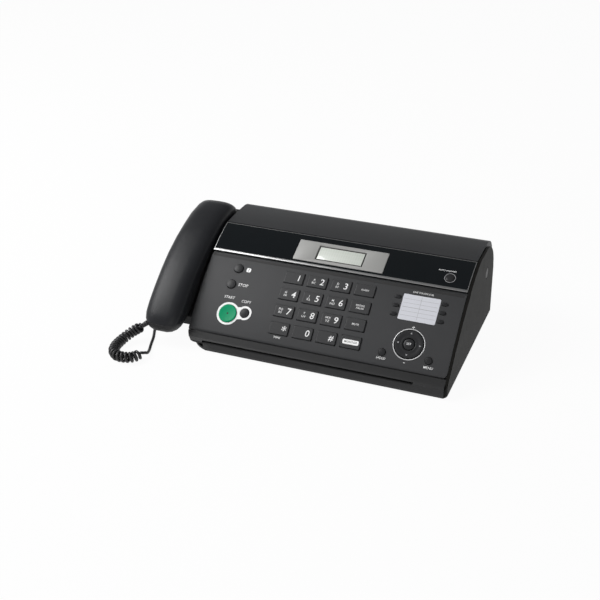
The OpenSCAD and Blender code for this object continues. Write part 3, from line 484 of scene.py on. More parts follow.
@dataclass(frozen=True)
class Plastic:
    """A moulded plastic with its spark grain.

    Attributes:
        name: The material's name.
        colour: Its linear colour.
        roughness: Roughness without scuffs.
        grain: How deep the grain looks.
        grain_scale: How fine it is.
        drift: How much the tone drifts over the moulding.
        scuff: How much the roughness wanders.
        dust: How much dust lies on top faces.
        specular: Specular level.
        coat: Weight of a clear coat.
        metallic: Metallic value, for metal paints.
    """

    name: str
    colour: Colour
    roughness: float = 0.42
    grain: float = 0.12
    grain_scale: float = 1800.0
    drift: float = 0.15
    scuff: float = 0.08
    dust: float = 0.015
    specular: float = 0.5
    coat: float = 0.0
    metallic: float = 0.0

    def make(self) -> bpy.types.Material:
        """Builds the material."""
        material = bpy.data.materials.new(self.name)
        material.use_nodes = True
        n, link = material.node_tree.nodes, material.node_tree.links.new
        shader = n["Principled BSDF"]
        place, grain, bump = (n.new(k) for k in (
            "ShaderNodeTexCoord", "ShaderNodeGroup", "ShaderNodeBump"))
        grain.node_tree = shared("grain", grain_group)
        grain.inputs["Colour"].default_value = (*self.colour, 1)
        grain.inputs["Grain Scale"].default_value = self.grain_scale
        grain.inputs["Roughness"].default_value = self.roughness
        grain.inputs["Drift"].default_value = self.drift
        grain.inputs["Scuff"].default_value = self.scuff
        grain.inputs["Dust"].default_value = self.dust
        link(place.outputs["Object"], grain.inputs["Vector"])
        link(grain.outputs["Colour"], shader.inputs["Base Color"])
        link(grain.outputs["Roughness"], shader.inputs["Roughness"])
        bump.inputs["Strength"].default_value = self.grain
        bump.inputs["Distance"].default_value = 0.0002
        link(grain.outputs["Height"], bump.inputs["Height"])
        link(bump.outputs["Normal"], shader.inputs["Normal"])
        shader.inputs["Specular IOR Level"].default_value = self.specular
        shader.inputs["Coat Weight"].default_value = self.coat
        shader.inputs["Coat Roughness"].default_value = 0.05
        shader.inputs["Metallic"].default_value = self.metallic
        return material


class Finishes:
    """Every finish of the machine, built once."""

    def __init__(self) -> None:
        """Builds the finishes."""
        self.body = Plastic("charcoal_body", (0.018, 0.0182, 0.019), 0.48, 0.25,
                            specular=0.3).make()
        self.panel = Plastic("charcoal_panel", (0.030, 0.0306, 0.0325), 0.44, 0.16,
                             specular=0.3).make()
        self.cover = Plastic("charcoal_cover", (0.026, 0.027, 0.029), 0.44, 0.18,
                             specular=0.25).make()
        # Colour far darker than the body's charcoal, with little specular: painted shade on the right side
        # cover, which faces away from the key lamp.
        self.side = Plastic("side_cover_painted_shade", (0.007, 0.0069, 0.006), 0.5, 0.2,
                            specular=0.06).make()
        self.handset = Plastic("charcoal_handset", (0.012, 0.0128, 0.015), 0.36, 0.10,
                               specular=0.22).make()
        self.inner = Plastic("dark_inner_shell", (0.014, 0.0143, 0.0155), 0.42, 0.2,
                             specular=0.3).make()
        self.cradle = Plastic("dark_cradle", (0.013, 0.0132, 0.014), 0.46, 0.25,
                              specular=0.3).make()
        self.key = Plastic("key_plastic", (0.025, 0.0255, 0.027), 0.42, 0.10,
                           specular=0.3).make()
        self.button = Plastic("button_plastic", (0.020, 0.0205, 0.022), 0.30, 0.05,
                              specular=0.2).make()
        self.green = Plastic("green_button", (0.0, 0.27, 0.12), 0.34, 0.05, drift=0.05,
                             specular=0.15).make()
        self.band = Plastic("gloss_band", (0.0045, 0.0062, 0.0075), 0.06, 0.0, drift=0.05,
                            scuff=0.03, dust=0.004, specular=0.3).make()
        self.silver = Plastic("silver_trim", (0.34, 0.34, 0.34), 0.30, 0.02, drift=0.03,
                              metallic=0.85).make()
        self.bright = Plastic("bright_trim", (0.72, 0.72, 0.73), 0.28, 0.02, drift=0.03,
                              metallic=0.25).make()
        self.frame = Plastic("display_frame", (0.33, 0.33, 0.32), 0.40, 0.05, drift=0.05).make()
        self.white = Plastic("white_print", (0.88, 0.88, 0.88), 0.5, 0.03, drift=0.02).make()
        self.grey_print = Plastic("grey_print", (0.30, 0.30, 0.31), 0.5, 0.03, drift=0.02).make()
        self.card = Plastic("paper_card", (0.62, 0.63, 0.68), 0.62, 0.05, drift=0.03).make()
        self.rubber = Plastic("soft_rubber", (0.012, 0.012, 0.0125), 0.6, 0.3, 900).make()
        self.cord = Plastic("cord_rubber", (0.010, 0.010, 0.011), 0.36, 0.06, dust=0.0).make()
        # Near-black for real dark parts and dark print, and also for the painted shade strip in the groove
        # under the band.
        self.dark = Plastic("dark_recess", (0.006, 0.006, 0.0065), 0.6, 0.1).make()
        self.gear = Plastic("gear_plastic", (0.60, 0.57, 0.47), 0.4, 0.05).make()
        self.steel = Plastic("plated_steel", (0.46, 0.46, 0.47), 0.28, 0.05, 500,
                             metallic=1.0).make()
        self.gold = Plastic("gold_contact", (0.75, 0.52, 0.18), 0.25, 0.02, metallic=1.0).make()
        self.paper = Plastic("thermal_paper", (0.78, 0.78, 0.74), 0.55, 0.05, drift=0.02).make()
        self.glass = self.display_glass()
        self.board = self.circuit_board("green_board", (0.010, 0.085, 0.035))
        self.supply = self.circuit_board("brown_board", (0.20, 0.12, 0.045))

    @staticmethod
    def display_glass() -> bpy.types.Material:
        """Builds the pale liquid crystal window with its faint rows of character cells."""
        material = bpy.data.materials.new("display_window")
        material.use_nodes = True
        n, link = material.node_tree.nodes, material.node_tree.links.new
        shader = n["Principled BSDF"]
        place, cells = n.new("ShaderNodeTexCoord"), n.new("ShaderNodeTexBrick")
        cells.offset = 0.0
        cells.inputs["Scale"].default_value = 1.0
        cells.inputs["Brick Width"].default_value = 0.0028
        cells.inputs["Row Height"].default_value = 0.0052
        cells.inputs["Mortar Size"].default_value = 0.00035
        cells.inputs["Color1"].default_value = (0.62, 0.655, 0.60, 1)
        cells.inputs["Color2"].default_value = (0.63, 0.665, 0.61, 1)
        cells.inputs["Mortar"].default_value = (0.67, 0.70, 0.65, 1)
        link(place.outputs["Object"], cells.inputs["Vector"])
        link(cells.outputs["Color"], shader.inputs["Base Color"])
        shader.inputs["Roughness"].default_value = 0.35
        shader.inputs["Coat Weight"].default_value = 0.6
        shader.inputs["Coat Roughness"].default_value = 0.05
        return material

    @staticmethod
    def circuit_board(name: str, colour: Colour) -> bpy.types.Material:
        """Builds a lacquered board with copper tracks and vias under the lacquer.

        Args:
            name: The material's name.
            colour: Colour of the lacquer.

        Returns:
            The material.
        """
        material = bpy.data.materials.new(name)
        material.use_nodes = True
        n, link = material.node_tree.nodes, material.node_tree.links.new
        shader = n["Principled BSDF"]
        place = n.new("ShaderNodeTexCoord")
        tracks, vias, ramp, dots = (n.new(k) for k in (
            "ShaderNodeTexBrick", "ShaderNodeTexVoronoi", "ShaderNodeMix", "ShaderNodeMix"))
        tracks.inputs["Scale"].default_value = 1.0
        tracks.inputs["Brick Width"].default_value = 0.011
        tracks.inputs["Row Height"].default_value = 0.0021
        tracks.inputs["Mortar Size"].default_value = 0.0003
        vias.inputs["Scale"].default_value = 260.0
        link(place.outputs["Object"], tracks.inputs["Vector"])
        link(place.outputs["Object"], vias.inputs["Vector"])
        ramp.data_type, dots.data_type = "RGBA", "RGBA"
        ramp.inputs["A"].default_value = (*colour, 1)
        ramp.inputs["B"].default_value = (*(min(1.0, c * 1.9 + 0.02) for c in colour), 1)
        link(tracks.outputs["Fac"], ramp.inputs["Factor"])
        near = n.new("ShaderNodeMath")
        near.operation = "LESS_THAN"
        near.inputs[1].default_value = 0.16
        link(vias.outputs["Distance"], near.inputs[0])
        link(near.outputs[0], dots.inputs["Factor"])
        link(ramp.outputs["Result"], dots.inputs["A"])
        dots.inputs["B"].default_value = (0.55, 0.50, 0.36, 1)
        link(dots.outputs["Result"], shader.inputs["Base Color"])
        shader.inputs["Roughness"].default_value = 0.32
        return material


# ---------- room ----------


@dataclass
class Room:
    """The pale floor, the soft lamps and the camera."""

    camera_at: Point = (0.39453, -1.01680, 0.65396)
    right: Point = (0.92846608, 0.37096609, -0.01830023)
    up: Point = (-0.16849278, 0.46459516, 0.86934546)
    ahead: Point = (-0.33099988, 0.80407431, -0.49386595)
    lens: float = 66.365

    def camera(self) -> None:
        """Sets the camera."""
        data = bpy.data.cameras.new("camera")
        data.lens, data.sensor_width = self.lens, 36.0
        data.clip_start, data.clip_end = 0.05, 20.0
        camera = bpy.data.objects.new("camera", data)
        bpy.context.scene.collection.objects.link(camera)
        turn = Matrix((self.right, self.up, [-v for v in self.ahead])).transposed()
        camera.matrix_world = Matrix.Translation(self.camera_at) @ turn.to_4x4()
        bpy.context.scene.camera = camera

    def floor(self) -> None:
        """Lays the pale floor, which shows white but keeps its shadow."""
        bm = bmesh.new()
        bmesh.ops.create_grid(bm, x_segments=1, y_segments=1, size=3.0)
        mesh = bpy.data.meshes.new("floor")
        bm.to_mesh(mesh)
        bm.free()
        material = bpy.data.materials.new("pale_floor")
        material.use_nodes = True
        n, link = material.node_tree.nodes, material.node_tree.links.new
        n.clear()
        out, mix, matt, glow, path, share, add, through = (n.new(k) for k in (
            "ShaderNodeOutputMaterial", "ShaderNodeMixShader", "ShaderNodeBsdfDiffuse",
            "ShaderNodeEmission", "ShaderNodeLightPath", "ShaderNodeMath", "ShaderNodeMath",
            "ShaderNodeMath"))
        matt.inputs["Color"].default_value = (0.80, 0.80, 0.80, 1)
        glow.inputs["Color"].default_value = (1, 1, 1, 1)
        add.operation, add.use_clamp = "ADD", True
        link(path.outputs["Is Camera Ray"], add.inputs[0])
        link(path.outputs["Is Glossy Ray"], add.inputs[1])
        through.operation, through.use_clamp = "ADD", True
        link(add.outputs[0], through.inputs[0])
        link(path.outputs["Is Transmission Ray"], through.inputs[1])
        share.operation = "MULTIPLY"
        share.inputs[1].default_value = 0.95
        link(through.outputs[0], share.inputs[0])
        link(share.outputs[0], mix.inputs[0])
        link(matt.outputs[0], mix.inputs[1])
        link(glow.outputs[0], mix.inputs[2])
        link(mix.outputs[0], out.inputs[0])
        mesh.materials.append(material)
        floor = bpy.data.objects.new("floor", mesh)
        bpy.context.scene.collection.objects.link(floor)

    def lamp(self, name: str, at: Point, aim: Point, size: float, power: float,
             colour: Colour = (1, 1, 1)) -> None:
        """Hangs a soft square lamp.

        Args:
            name: Its name.
            at: Where it hangs.
            aim: What it points at.
            size: Its side.
            power: Its power in watts.
            colour: Its colour.
        """
        data = bpy.data.lights.new(name, "AREA")
        data.size, data.energy, data.color = size, power, colour
        lamp = bpy.data.objects.new(name, data)
        bpy.context.scene.collection.objects.link(lamp)
        turn = (Vector(aim) - Vector(at)).to_track_quat("-Z", "Y").to_matrix().to_4x4()
        lamp.matrix_world = Matrix.Translation(at) @ turn

    def light(self) -> None:
        """Hangs the lamps and sets the sky."""
        self.lamp("key_lamp", (-1.25, -0.35, 1.35), (0, 0, 0.05), 1.0, 31.0)
        self.lamp("front_lamp", (0.3, -1.6, 0.9), (0.1, 0, 0.05), 0.8, 3.0, (1, 0.98, 0.94))
        world = bpy.data.worlds.new("studio")
        world.use_nodes = True
        bpy.context.scene.world = world
        n, link = world.node_tree.nodes, world.node_tree.links.new
        back = n["Background"]
        place, split, lift, sky = (n.new(k) for k in (
            "ShaderNodeTexCoord", "ShaderNodeSeparateXYZ", "ShaderNodeMapRange",
            "ShaderNodeMix"))
        link(place.outputs["Generated"], split.inputs[0])
        link(split.outputs["Z"], lift.inputs["Value"])
        lift.inputs["From Min"].default_value = 0.12
        lift.inputs["From Max"].default_value = 0.5
        sky.data_type = "RGBA"
        sky.inputs["A"].default_value = (1, 1, 1, 1)
        sky.inputs["B"].default_value = (0.17, 0.172, 0.176, 1)
        link(lift.outputs["Result"], sky.inputs["Factor"])
        link(sky.outputs["Result"], back.inputs["Color"])
        back.inputs["Strength"].default_value = 1.0


# ---------- handset cord ----------


def smooth_route(points: Sequence[Point], step: float) -> list[Vector]:
    """Runs a smooth curve through points and spaces it evenly.

    Args:
        points: The points in order.
        step: The spacing.

    Returns:
        The evenly spaced points.
    """
    p = [Vector(q) for q in points]
    p = [2 * p[0] - p[1], *p, 2 * p[-1] - p[-2]]
    fine: list[Vector] = []
    for i in range(1, len(p) - 2):
        a, b, c, d = p[i - 1:i + 3]
        for k in range(24):
            t = k / 24
            fine.append(0.5 * (2 * b + (c - a) * t + (2 * a - 5 * b + 4 * c - d) * t * t
                               + (3 * b - a - 3 * c + d) * t ** 3))
    fine.append(p[-2])
    out, carried = [fine[0]], 0.0
    for a, b in zip(fine, fine[1:]):
        gap = (b - a).length
        while carried + gap >= step:
            a = a + (b - a) * ((step - carried) / gap)
            out.append(a.copy())
            gap, carried = (b - a).length, 0.0
        carried += gap
    return out


@dataclass
class HandsetCord:
    """The curled cord from the handset, round on the desk and back to its jack."""

    thick: float = 3.4
    across: float = 12.6
    pitch: float = 4.35
    per_turn: int = 20
    curls: tuple[Point, ...] = (
        (-195.6, 0.9, 21.2), (-198.8, -1.2, 19), (-203, -3.6, 16), (-208.5, -5, 12.5),
        (-213.5, -8.5, 9), (-217, -14, 6.5), (-219, -21, 5), (-219, -31, 4.8),
        (-215.5, -41, 4.8), (-207.5, -48, 4.8), (-198.5, -48.5, 4.8), (-191, -46, 4.8),
        (-186, -40, 4.8), (-182, -33, 4.8))
    lead: tuple[Point, ...] = (
        (-181, -28, 2.2), (-184, -18, 0.2), (-187.5, -8, 0.2), (-192, 6, 0.2), (-198, 20, 0.2),
        (-203, 32, 1.5), (-206, 42, 5), (-205.5, 48.5, 9.5), (-202.5, 51.6, 11.6),
        (-199, 52, 12), (-193, 52, 12))

    def line(self) -> list[Vector]:
        """Works out the cord's own middle line, curls and lead, in the shared frame."""
        middle = smooth_route((*self.curls, *self.lead), self.pitch / self.per_turn)
        gap = [0.0]
        for a, b in zip(middle, middle[1:]):
            gap.append(gap[-1] + (b - a).length)
        near = min(range(len(middle)), key=lambda i: (middle[i] - Vector(self.curls[-1])).length)
        last, reach = gap[near], (self.across - self.thick) / 2
        side = Vector((0, 0, 1)).cross(middle[1] - middle[0]).normalized()
        made: list[Vector] = []
        a = 0.0
        for i, p in enumerate(middle):
            ahead = (middle[min(i + 1, len(middle) - 1)] - middle[max(i - 1, 0)]).normalized()
            side = (side - ahead * side.dot(ahead)).normalized()
            ramp = min(1.0, max(0.0, (gap[i] - 2.0) / 9.0), max(0.0, (last - gap[i]) / 9.0))
            ramp = ramp * ramp * (3 - 2 * ramp)
            a += math.tau * (gap[i] - gap[max(i - 1, 0)]) / self.pitch * ramp
            out = side * math.cos(a) + ahead.cross(side) * math.sin(a)
            desk = 0.2 + reach * ramp
            q = Vector((p.x, p.y, max(p.z, desk))) + out * (reach * ramp)
            made.append(row(*q))
        return made

    def build(self, finishes: Finishes) -> list[bpy.types.Object]:
        """Makes the cord with its sleeve and its plug.

        Args:
            finishes: The machine's finishes.

        Returns:
            The pieces.
        """
        points = self.line()
        thin = [points[0]]
        for p in points[1:]:
            if (p - thin[-1]).length > 0.0012:
                thin.append(p)
        if (points[-1] - thin[-1]).length < 0.0012 and len(thin) > 2:
            thin.pop()
        thin.append(points[-1])
        curve = bpy.data.curves.new("handset_cord_line", "CURVE")
        curve.dimensions, curve.bevel_depth = "3D", self.thick / 2 * MM
        curve.bevel_resolution, curve.use_fill_caps = 2, True
        spline = curve.splines.new("POLY")
        spline.points.add(len(thin) - 1)
        for slot, p in zip(spline.points, thin):
            slot.co = (*p, 1)
        carrier = bpy.data.objects.new("cord_line", curve)
        bpy.context.scene.collection.objects.link(carrier)
        bpy.context.view_layer.update()
        mesh = bpy.data.meshes.new_from_object(
            carrier.evaluated_get(bpy.context.evaluated_depsgraph_get()))
        bpy.data.objects.remove(carrier)
        mesh.materials.clear()
        mesh.materials.append(finishes.cord)
        for f in mesh.polygons:
            f.use_smooth = True
        cord = bpy.data.objects.new("curled_handset_cord", mesh)
        bpy.context.scene.collection.objects.link(cord)
        length = sum((b - a).length for a, b in zip(thin, thin[1:]))

        sleeve = Form()
        a, b = Vector((-195.2, 1.2, 21.5)), Vector((-203.2, -3.5, 15.9))
        for k in range(4):
            t0, t1 = k / 4, (k + 0.8) / 4
            sleeve.rod(3.1 - 0.75 * t0, a.lerp(b, t0), a.lerp(b, t1), 24, 3.1 - 0.75 * t1)
        sleeve.rod(2.2, a, b, 20)
        sleeve.shift(MACHINE)
        boot = sleeve.finish("handset_cord_sleeve", [finishes.cord])

        plug = Form()
        plug.block((7.6, 5.8, 5.8), (-192.6, 52, 12))
        plug.soften(plug.sharp(), 0.5, 2)
        plug.block((1.2, 6.4, 5.2), (-196.9, 52, 12))
        plug.block((4.4, 2.6, 0.8), (-198.2, 52, 15.0))
        plug.shift(MACHINE)
        tip = plug.finish("handset_cord_plug", [finishes.inner])

        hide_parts("handset_cord")
        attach(boot, "handset")
        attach(tip, "cabinet")
        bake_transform(cord, "cabinet", "handset", start=tuple(row(0, 0, 9.5)),
                 end=tuple(row(0, 0, 20.4)))
        tuple(thin[0])
        [tuple(p) for p in thin]
        LOG.info("handset cord: %.2f m in %d points", length, len(thin))
        return [cord, boot, tip]


# ---------- mouldings ----------


def ride_on(node: str) -> str:
    """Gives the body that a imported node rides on."""
    found = body_of(frame["nodes"][node])
    return found if isinstance(found, str) else list(found)[0]


def dressed(node: str, name: str, finishes: Sequence[bpy.types.Material],
            width: float = 0.4, limit: float = 35.0, smooth: float = 32.0,
            tools: Sequence[bpy.types.Object] = ()) -> bpy.types.Object:
    """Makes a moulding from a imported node's own shape, with its edges rounded.

    Args:
        node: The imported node.
        name: The new piece's name.
        finishes: Its materials.
        width: Width of the rounding in millimetres.
        limit: Edges that turn by more degrees than this are rounded.
        smooth: Edges that turn by fewer degrees than this are shaded smooth.
        tools: Solids that are cut away before the rounding.

    Returns:
        The new piece, which stands for the node.
    """
    form = copy_of(node)
    piece = form.finish(name, finishes, smooth)
    for tool in tools:
        carve(piece, tool, Cut.AWAY)
    if tools:
        form = Form.reopened(piece)
        bmesh.ops.remove_doubles(form.bm, verts=list(form.bm.verts), dist=1e-5)
        piece = form.finish(name, finishes, smooth)
    bevel = piece.modifiers.new("round", "BEVEL")
    bevel.limit_method, bevel.angle_limit = "ANGLE", math.radians(limit)
    bevel.width, bevel.segments, bevel.profile, bevel.material = width * MM, 2, 0.5, -1
    bevel.use_clamp_overlap, bevel.miter_outer = True, "MITER_ARC"
    even = piece.modifiers.new("even", "WEIGHTED_NORMAL")
    even.keep_sharp, even.weight = True, 80
    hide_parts(node)
    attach(piece, ride_on(node))
    LOG.info("%s: %d faces", name, len(piece.data.polygons))
    return piece


def repaint(node: str, finish: bpy.types.Material) -> None:
    """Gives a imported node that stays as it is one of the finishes."""
    piece = frame["nodes"][node]
    if not piece.data.materials:
        piece.data.materials.append(finish)
    for slot in piece.material_slots:
        slot.material = finish
    LOG.info("%s keeps its shape, in %s", node, finish.name)


@dataclass
class Casing:
    """The cabinet's mouldings: base, side cover, top cover and cradle."""

    edge: float = 0.45

    def build(self, finishes: Finishes) -> None:
        """Dresses the mouldings.

        Args:
            finishes: The machine's finishes.
        """
        dressed("bottom_cabinet", "base_moulding", [finishes.body], self.edge)
        dressed("right_side_cover", "right_side_moulding", [finishes.side], 0.7)
        dressed("top_cover", "top_cover_moulding", [finishes.cover], 0.6)
        dressed("handset_cradle", "cradle_moulding", [finishes.cradle], 0.6)
        dressed("release_button", "release_knob", [finishes.inner], 0.4)
        for node, finish in (
                ("rubber_feet", finishes.rubber), ("case_screws", finishes.steel),
                ("chassis_frame", finishes.inner), ("hook_switch", finishes.dark)):
            repaint(node, finish)


# ---------- handset ----------


@dataclass
class Handset:
    """The handset's two shells with the sound holes under the ear and the mouth.

    Attributes:
        middle: X of the handset's middle.
        seam: Half the width of the V groove along the parting.
        ear: Place of the ear capsule, in machine millimetres.
        mouth: Place of the mouth capsule.
        lean: How far the capsules lean, in degrees.
    """

    middle: float = -177.0
    seam: float = 0.4
    ear: tuple[float, float] = (144.0, 76.0)
    mouth: tuple[float, float] = (34.0, 33.0)
    lean: float = 14.0

    def sound_holes(self, at: tuple[float, float], rings: Sequence[tuple[int, float]],
                    name: str) -> bpy.types.Object:
        """Makes the pins that pierce a ring pattern of holes.

        Args:
            at: The (y, z) middle of the capsule.
            rings: Number of holes and radius of each ring.
            name: Name of the tool.

        Returns:
            The tool.
        """
        form = Form()
        for count, radius in rings:
            for k in range(count):
                a = math.tau * k / count
                x, y = radius * math.cos(a), radius * math.sin(a)
                form.rod(0.85, (x, y, -12.0), (x, y, 0.5), 12)
        form.shift(MACHINE @ Matrix.Translation((self.middle, *at))
                   @ Matrix.Rotation(math.radians(self.lean), 4, "X"))
        return form.finish(name, [])

    def build(self, finishes: Finishes) -> None:
        """Dresses both shells.

        Args:
            finishes: The machine's finishes.
        """
        dressed("handset_outer_shell", "handset_back", [finishes.handset],
                self.seam, 50.0, 40.0)
        dressed("handset_inner_shell", "handset_face", [finishes.inner],
                self.seam, 50.0, 40.0,
                [self.sound_holes(self.ear, [(1, 0), (6, 3.4), (12, 6.8)], "ear_holes"),
                 self.sound_holes(self.mouth, [(1, 0), (5, 2.8)], "mouth_holes")])
        repaint("earpiece_and_microphone", finishes.dark)


# ---------- panel ----------


@dataclass
class Panel:
    """The hinged key panel with the board and the card under and in it."""

    edge: float = 0.35

    def build(self, finishes: Finishes) -> None:
        """Dresses the panel.

        Args:
            finishes: The machine's finishes.
        """
        dressed("operation_panel", "key_panel", [finishes.panel], self.edge)
        repaint("key_board", finishes.board)
        self.card(finishes)
        self.surround(finishes)
        self.prints(finishes)

    @staticmethod
    def card(finishes: Finishes) -> None:
        """Makes the one touch card with its faint ruled lines.

        Args:
            finishes: The machine's finishes.
        """
        form = Form()
        form.block((41, 30, 0.5), (0, 0, -0.35))
        form.soften(lambda e: abs(e.verts[0].co.z - e.verts[1].co.z) > 0.3, 1.2, 3)
        known = set(form.bm.faces)
        for s in (-9.6, -4.8, 4.8, 9.6):
            form.block((38, 0.25, 0.04), (0, s, -0.09))
        form.block((0.25, 27, 0.04), (0, 0, -0.09))
        form.block((38, 0.45, 0.04), (0, 0, -0.09))
        form.tag(1, known)
        form.shift(PANEL.seat(100.6, 70.2))
        piece = form.finish("one_touch_list", [finishes.card, finishes.grey_print])
        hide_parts("one_touch_card")
        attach(piece, "panel")

    @staticmethod
    def surround(finishes: Finishes) -> None:
        """Makes the white keyhole shaped surround of the start and copy buttons.

        Args:
            finishes: The machine's finishes.
        """
        start, copy = Vector((-108.7, 25.9)), Vector((-89.5, 29.6))
        low, high = -0.3, 0.22
        form = Form()
        form.rod(13.1, (*start, low), (*start, high), 64)
        plate = form.finish("start_surround", [finishes.white])
        lobe = Form()
        lobe.rod(8.1, (*copy, low), (*copy, high), 48)
        carve(plate, lobe.finish("lobe", []), Cut.JOIN)
        neck, along = Form(), (copy - start).normalized()
        side = Vector((-along.y, along.x)) * 8.0
        neck.slab([tuple(start + side), tuple(start - side), tuple(copy - side * 0.8),
                   tuple(copy + side * 0.8)], low, high)
        neck.outward()
        carve(plate, neck.finish("neck", []), Cut.JOIN)
        for radius, at in ((10.7, start), (5.7, copy)):
            hole = Form()
            hole.rod(radius, (*at, -2), (*at, 2), 64)
            carve(plate, hole.finish("hole", []), Cut.AWAY)
        form = Form.reopened(plate)
        for s in (16.0, 19.0, 22.0, 25.0, 28.0, 31.0, 34.0, 37.0):
            bmesh.ops.bisect_plane(form.bm, geom=[*form.bm.verts, *form.bm.edges, *form.bm.faces],
                                   plane_co=(0, s, 0), plane_no=(0, 1, 0))
        form.lay(PANEL)
        piece = form.finish("start_surround", [finishes.white])
        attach(piece, "panel")

    @staticmethod
    def prints(finishes: Finishes) -> None:
        """Prints the generic signs beside the buttons, and lays a dark strip along the panel's top edge as
        painted shade in the groove under the band.

        Args:
            finishes: The machine's finishes.
        """
        form = Form()
        lift = 0.06
        for words, size, at in (
                ("STOP", 3.6, (-101.3, 61.0)),
                ("START", 3.1, (-112.5, 44.6)), ("COPY", 3.1, (-91.5, 42.6)),
                ("TONE", 2.2, (-45.5, 9.6)), ("+", 4.6, (99.7, 48.2)), ("-", 5.0, (99.0, 9.6)),
                ("ONE TOUCH DIAL", 2.0, (100.6, 88.6)),
                ("MENU", 2.7, (125.0, 8.4)), ("HOLD", 2.6, (73.5, 9.3))):
            form.text(words, size, at, lift, 0.12, 0.012)
        form.lay(PANEL)
        form.face_up()
        piece = form.finish("panel_print", [finishes.white], outward=False)
        patch = Form()
        patch.slab([(x - 100.5, y + 80.4) for x, y in pill_outline(5.2, 5.2, 1.4, 4)], -0.1, 0.05)
        patch.outward()
        known = set(patch.bm.faces)
        patch.text("?", 3.9, (-100.5, 80.4), 0.09, 0.1, 0.02)
        # Dark strip along the panel's top edge, under the band's silver lip: painted shade that widens the
        # groove's shadow.
        patch.block((292, 2.8, 0.2), (-2, 93.1, -0.04))
        patch.tag(1, known)
        patch.lay(PANEL)
        sign = patch.finish("help_sign_and_groove_shade", [finishes.white, finishes.dark], outward=False)
        for made in (piece, sign):
            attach(made, "panel")


# ---------- display band ----------


@dataclass
class Band:
    """The glossy band with its silver trims, display and answer button.

    Attributes:
        left: X of the band's left end.
        right: X of its right end.
        lip: Slope width of the silver lip at its foot.
    """

    left: float = -150.0
    right: float = 146.4
    lip: float = 2.4

    def build(self, finishes: Finishes) -> None:
        """Dresses the band.

        Args:
            finishes: The machine's finishes.
        """
        dressed("display_band", "display_band_cover", [finishes.band], 0.3)
        self.trims(finishes)
        self.display(finishes)
        self.answer(finishes)

    def strip(self, form: Form, x0: float, x1: float, s0: float, s1: float,
              low: float, high: float) -> None:
        """Adds a strip that follows the bowed band.

        Args:
            form: The form it joins.
            x0: Its left end.
            x1: Its right end.
            s0: Its lower edge.
            s1: Its upper edge.
            low: Its underside over the band.
            high: Its top over the band.
        """
        steps = max(1, int((s1 - s0) / 3))
        made = form.block((x1 - x0, s1 - s0, high - low),
                          ((x0 + x1) / 2, (s0 + s1) / 2, (low + high) / 2))
        for k in range(1, steps):
            geom = [g for v in made if v.is_valid for g in (v, *v.link_edges, *v.link_faces)]
            bmesh.ops.bisect_plane(form.bm, geom=list(dict.fromkeys(geom)),
                                   plane_co=(0, s0 + (s1 - s0) * k / steps, 0),
                                   plane_no=(0, 1, 0))

    def trims(self, finishes: Finishes) -> None:
        """Makes the silver lip and the thin lines along the other edges.

        Args:
            finishes: The machine's finishes.
        """
        form = Form()
        form.block((self.right - self.left - 0.2, self.lip + 0.5, 1.1),
                   ((self.left + self.right) / 2, self.lip / 2 - 0.35, -0.1))
        form.soften(form.sharp(), 0.45, 3)
        self.strip(form, self.left + 0.1, self.right - 0.1, 41.0, 41.75, -0.4, 0.3)
        self.strip(form, self.left + 0.1, self.left + 0.9, 0.0, 41.7, -0.4, 0.25)
        self.strip(form, self.right - 0.9, self.right - 0.1, 0.0, 41.7, -0.4, 0.25)
        form.lay(BAND)
        piece = form.finish("band_trim", [finishes.silver])
        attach(piece, "panel")

    @staticmethod
    def display(finishes: Finishes) -> None:
        """Makes the display's frame with its window sunk in it.

        Args:
            finishes: The machine's finishes.
        """
        form = Form()
        form.block((105, 28.7, 6.7), (0, 0, -3.65))
        form.soften(lambda e: abs(e.verts[0].co.z - e.verts[1].co.z) > 3, 0.9, 3)
        frame_piece = form.finish("display_frame", [finishes.frame, finishes.dark])
        hole = Form()
        hole.block((55, 20, 6), (0, 0, 1.4))
        top = [v for v in hole.bm.verts if v.co.z > 3]
        bmesh.ops.scale(hole.bm, vec=(1.05, 1.12, 1), verts=top)
        carve(frame_piece, hole.finish("window_hole", []), Cut.AWAY)
        form = Form.reopened(frame_piece)
        top_edges = [e for e in form.bm.edges
                     if all(abs(v.co.z + 0.3) < 1e-3 for v in e.verts)]
        bmesh.ops.bevel(form.bm, geom=top_edges, offset=0.35, affect="EDGES", segments=2,
                        profile=0.5, material=-1, clamp_overlap=True)
        known = set(form.bm.faces)
        form.block((55.6, 20.6, 0.4), (0, 0, -1.75))
        form.tag(1, known)
        form.block((111, 30.7, 1.5), (0, 0, -7.75))
        form.shift(BAND.seat(-2.3, 19.2))
        piece = form.finish("display_frame", [finishes.frame, finishes.dark])
        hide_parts("lcd_module")
        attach(piece, "panel")
        glass = Form()
        glass.block((52, 17.2, 0.5), (0, 0, -1.35))
        glass.soften(glass.sharp(), 0.2, 2)
        glass.shift(BAND.seat(-2.3, 19.2))
        window = glass.finish("display_window", [finishes.glass])
        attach(window, "panel")

    @staticmethod
    def answer(finishes: Finishes) -> None:
        """Makes the answer button with the light ring round it.

        Args:
            finishes: The machine's finishes.
        """
        form = Form()
        form.turned([(0, 0.95), (2.6, 0.9), (4.2, 0.65), (4.8, 0.3), (5, -0.3), (5, -6.3),
                     (6.2, -6.3), (6.2, -7.7), (0, -7.7)], 48)
        form.shift(BAND.seat(123.7, 13.6))
        piece = form.finish("answer_cap", [finishes.button], 40)
        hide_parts("answer_button")
        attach(piece, "answer_button")
        ring = Form()
        ring.turned([(5.5, 0.02), (5.55, 0.18), (6.1, 0.18), (6.15, 0.02), (6.1, -0.3),
                     (5.55, -0.3)], 48)
        ring.shift(BAND.seat(123.7, 13.6))
        label = Form()
        label.text("AUTO ANSWER", 2.0, (118.5, 22.6), 0.06, 0.1, 0.012)
        label.lay(BAND)
        label.face_up()
        for made in (ring.finish("answer_ring", [finishes.grey_print], 40),
                     label.finish("answer_print", [finishes.white], outward=False)):
            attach(made, "panel")


# ---------- keys and buttons ----------


# Depths below the panel of a button's flange, top and underside, and of its stem's foot
FLANGE_TOP, FLANGE_LOW, STEM_LOW = -3.3, -4.7, -6.9


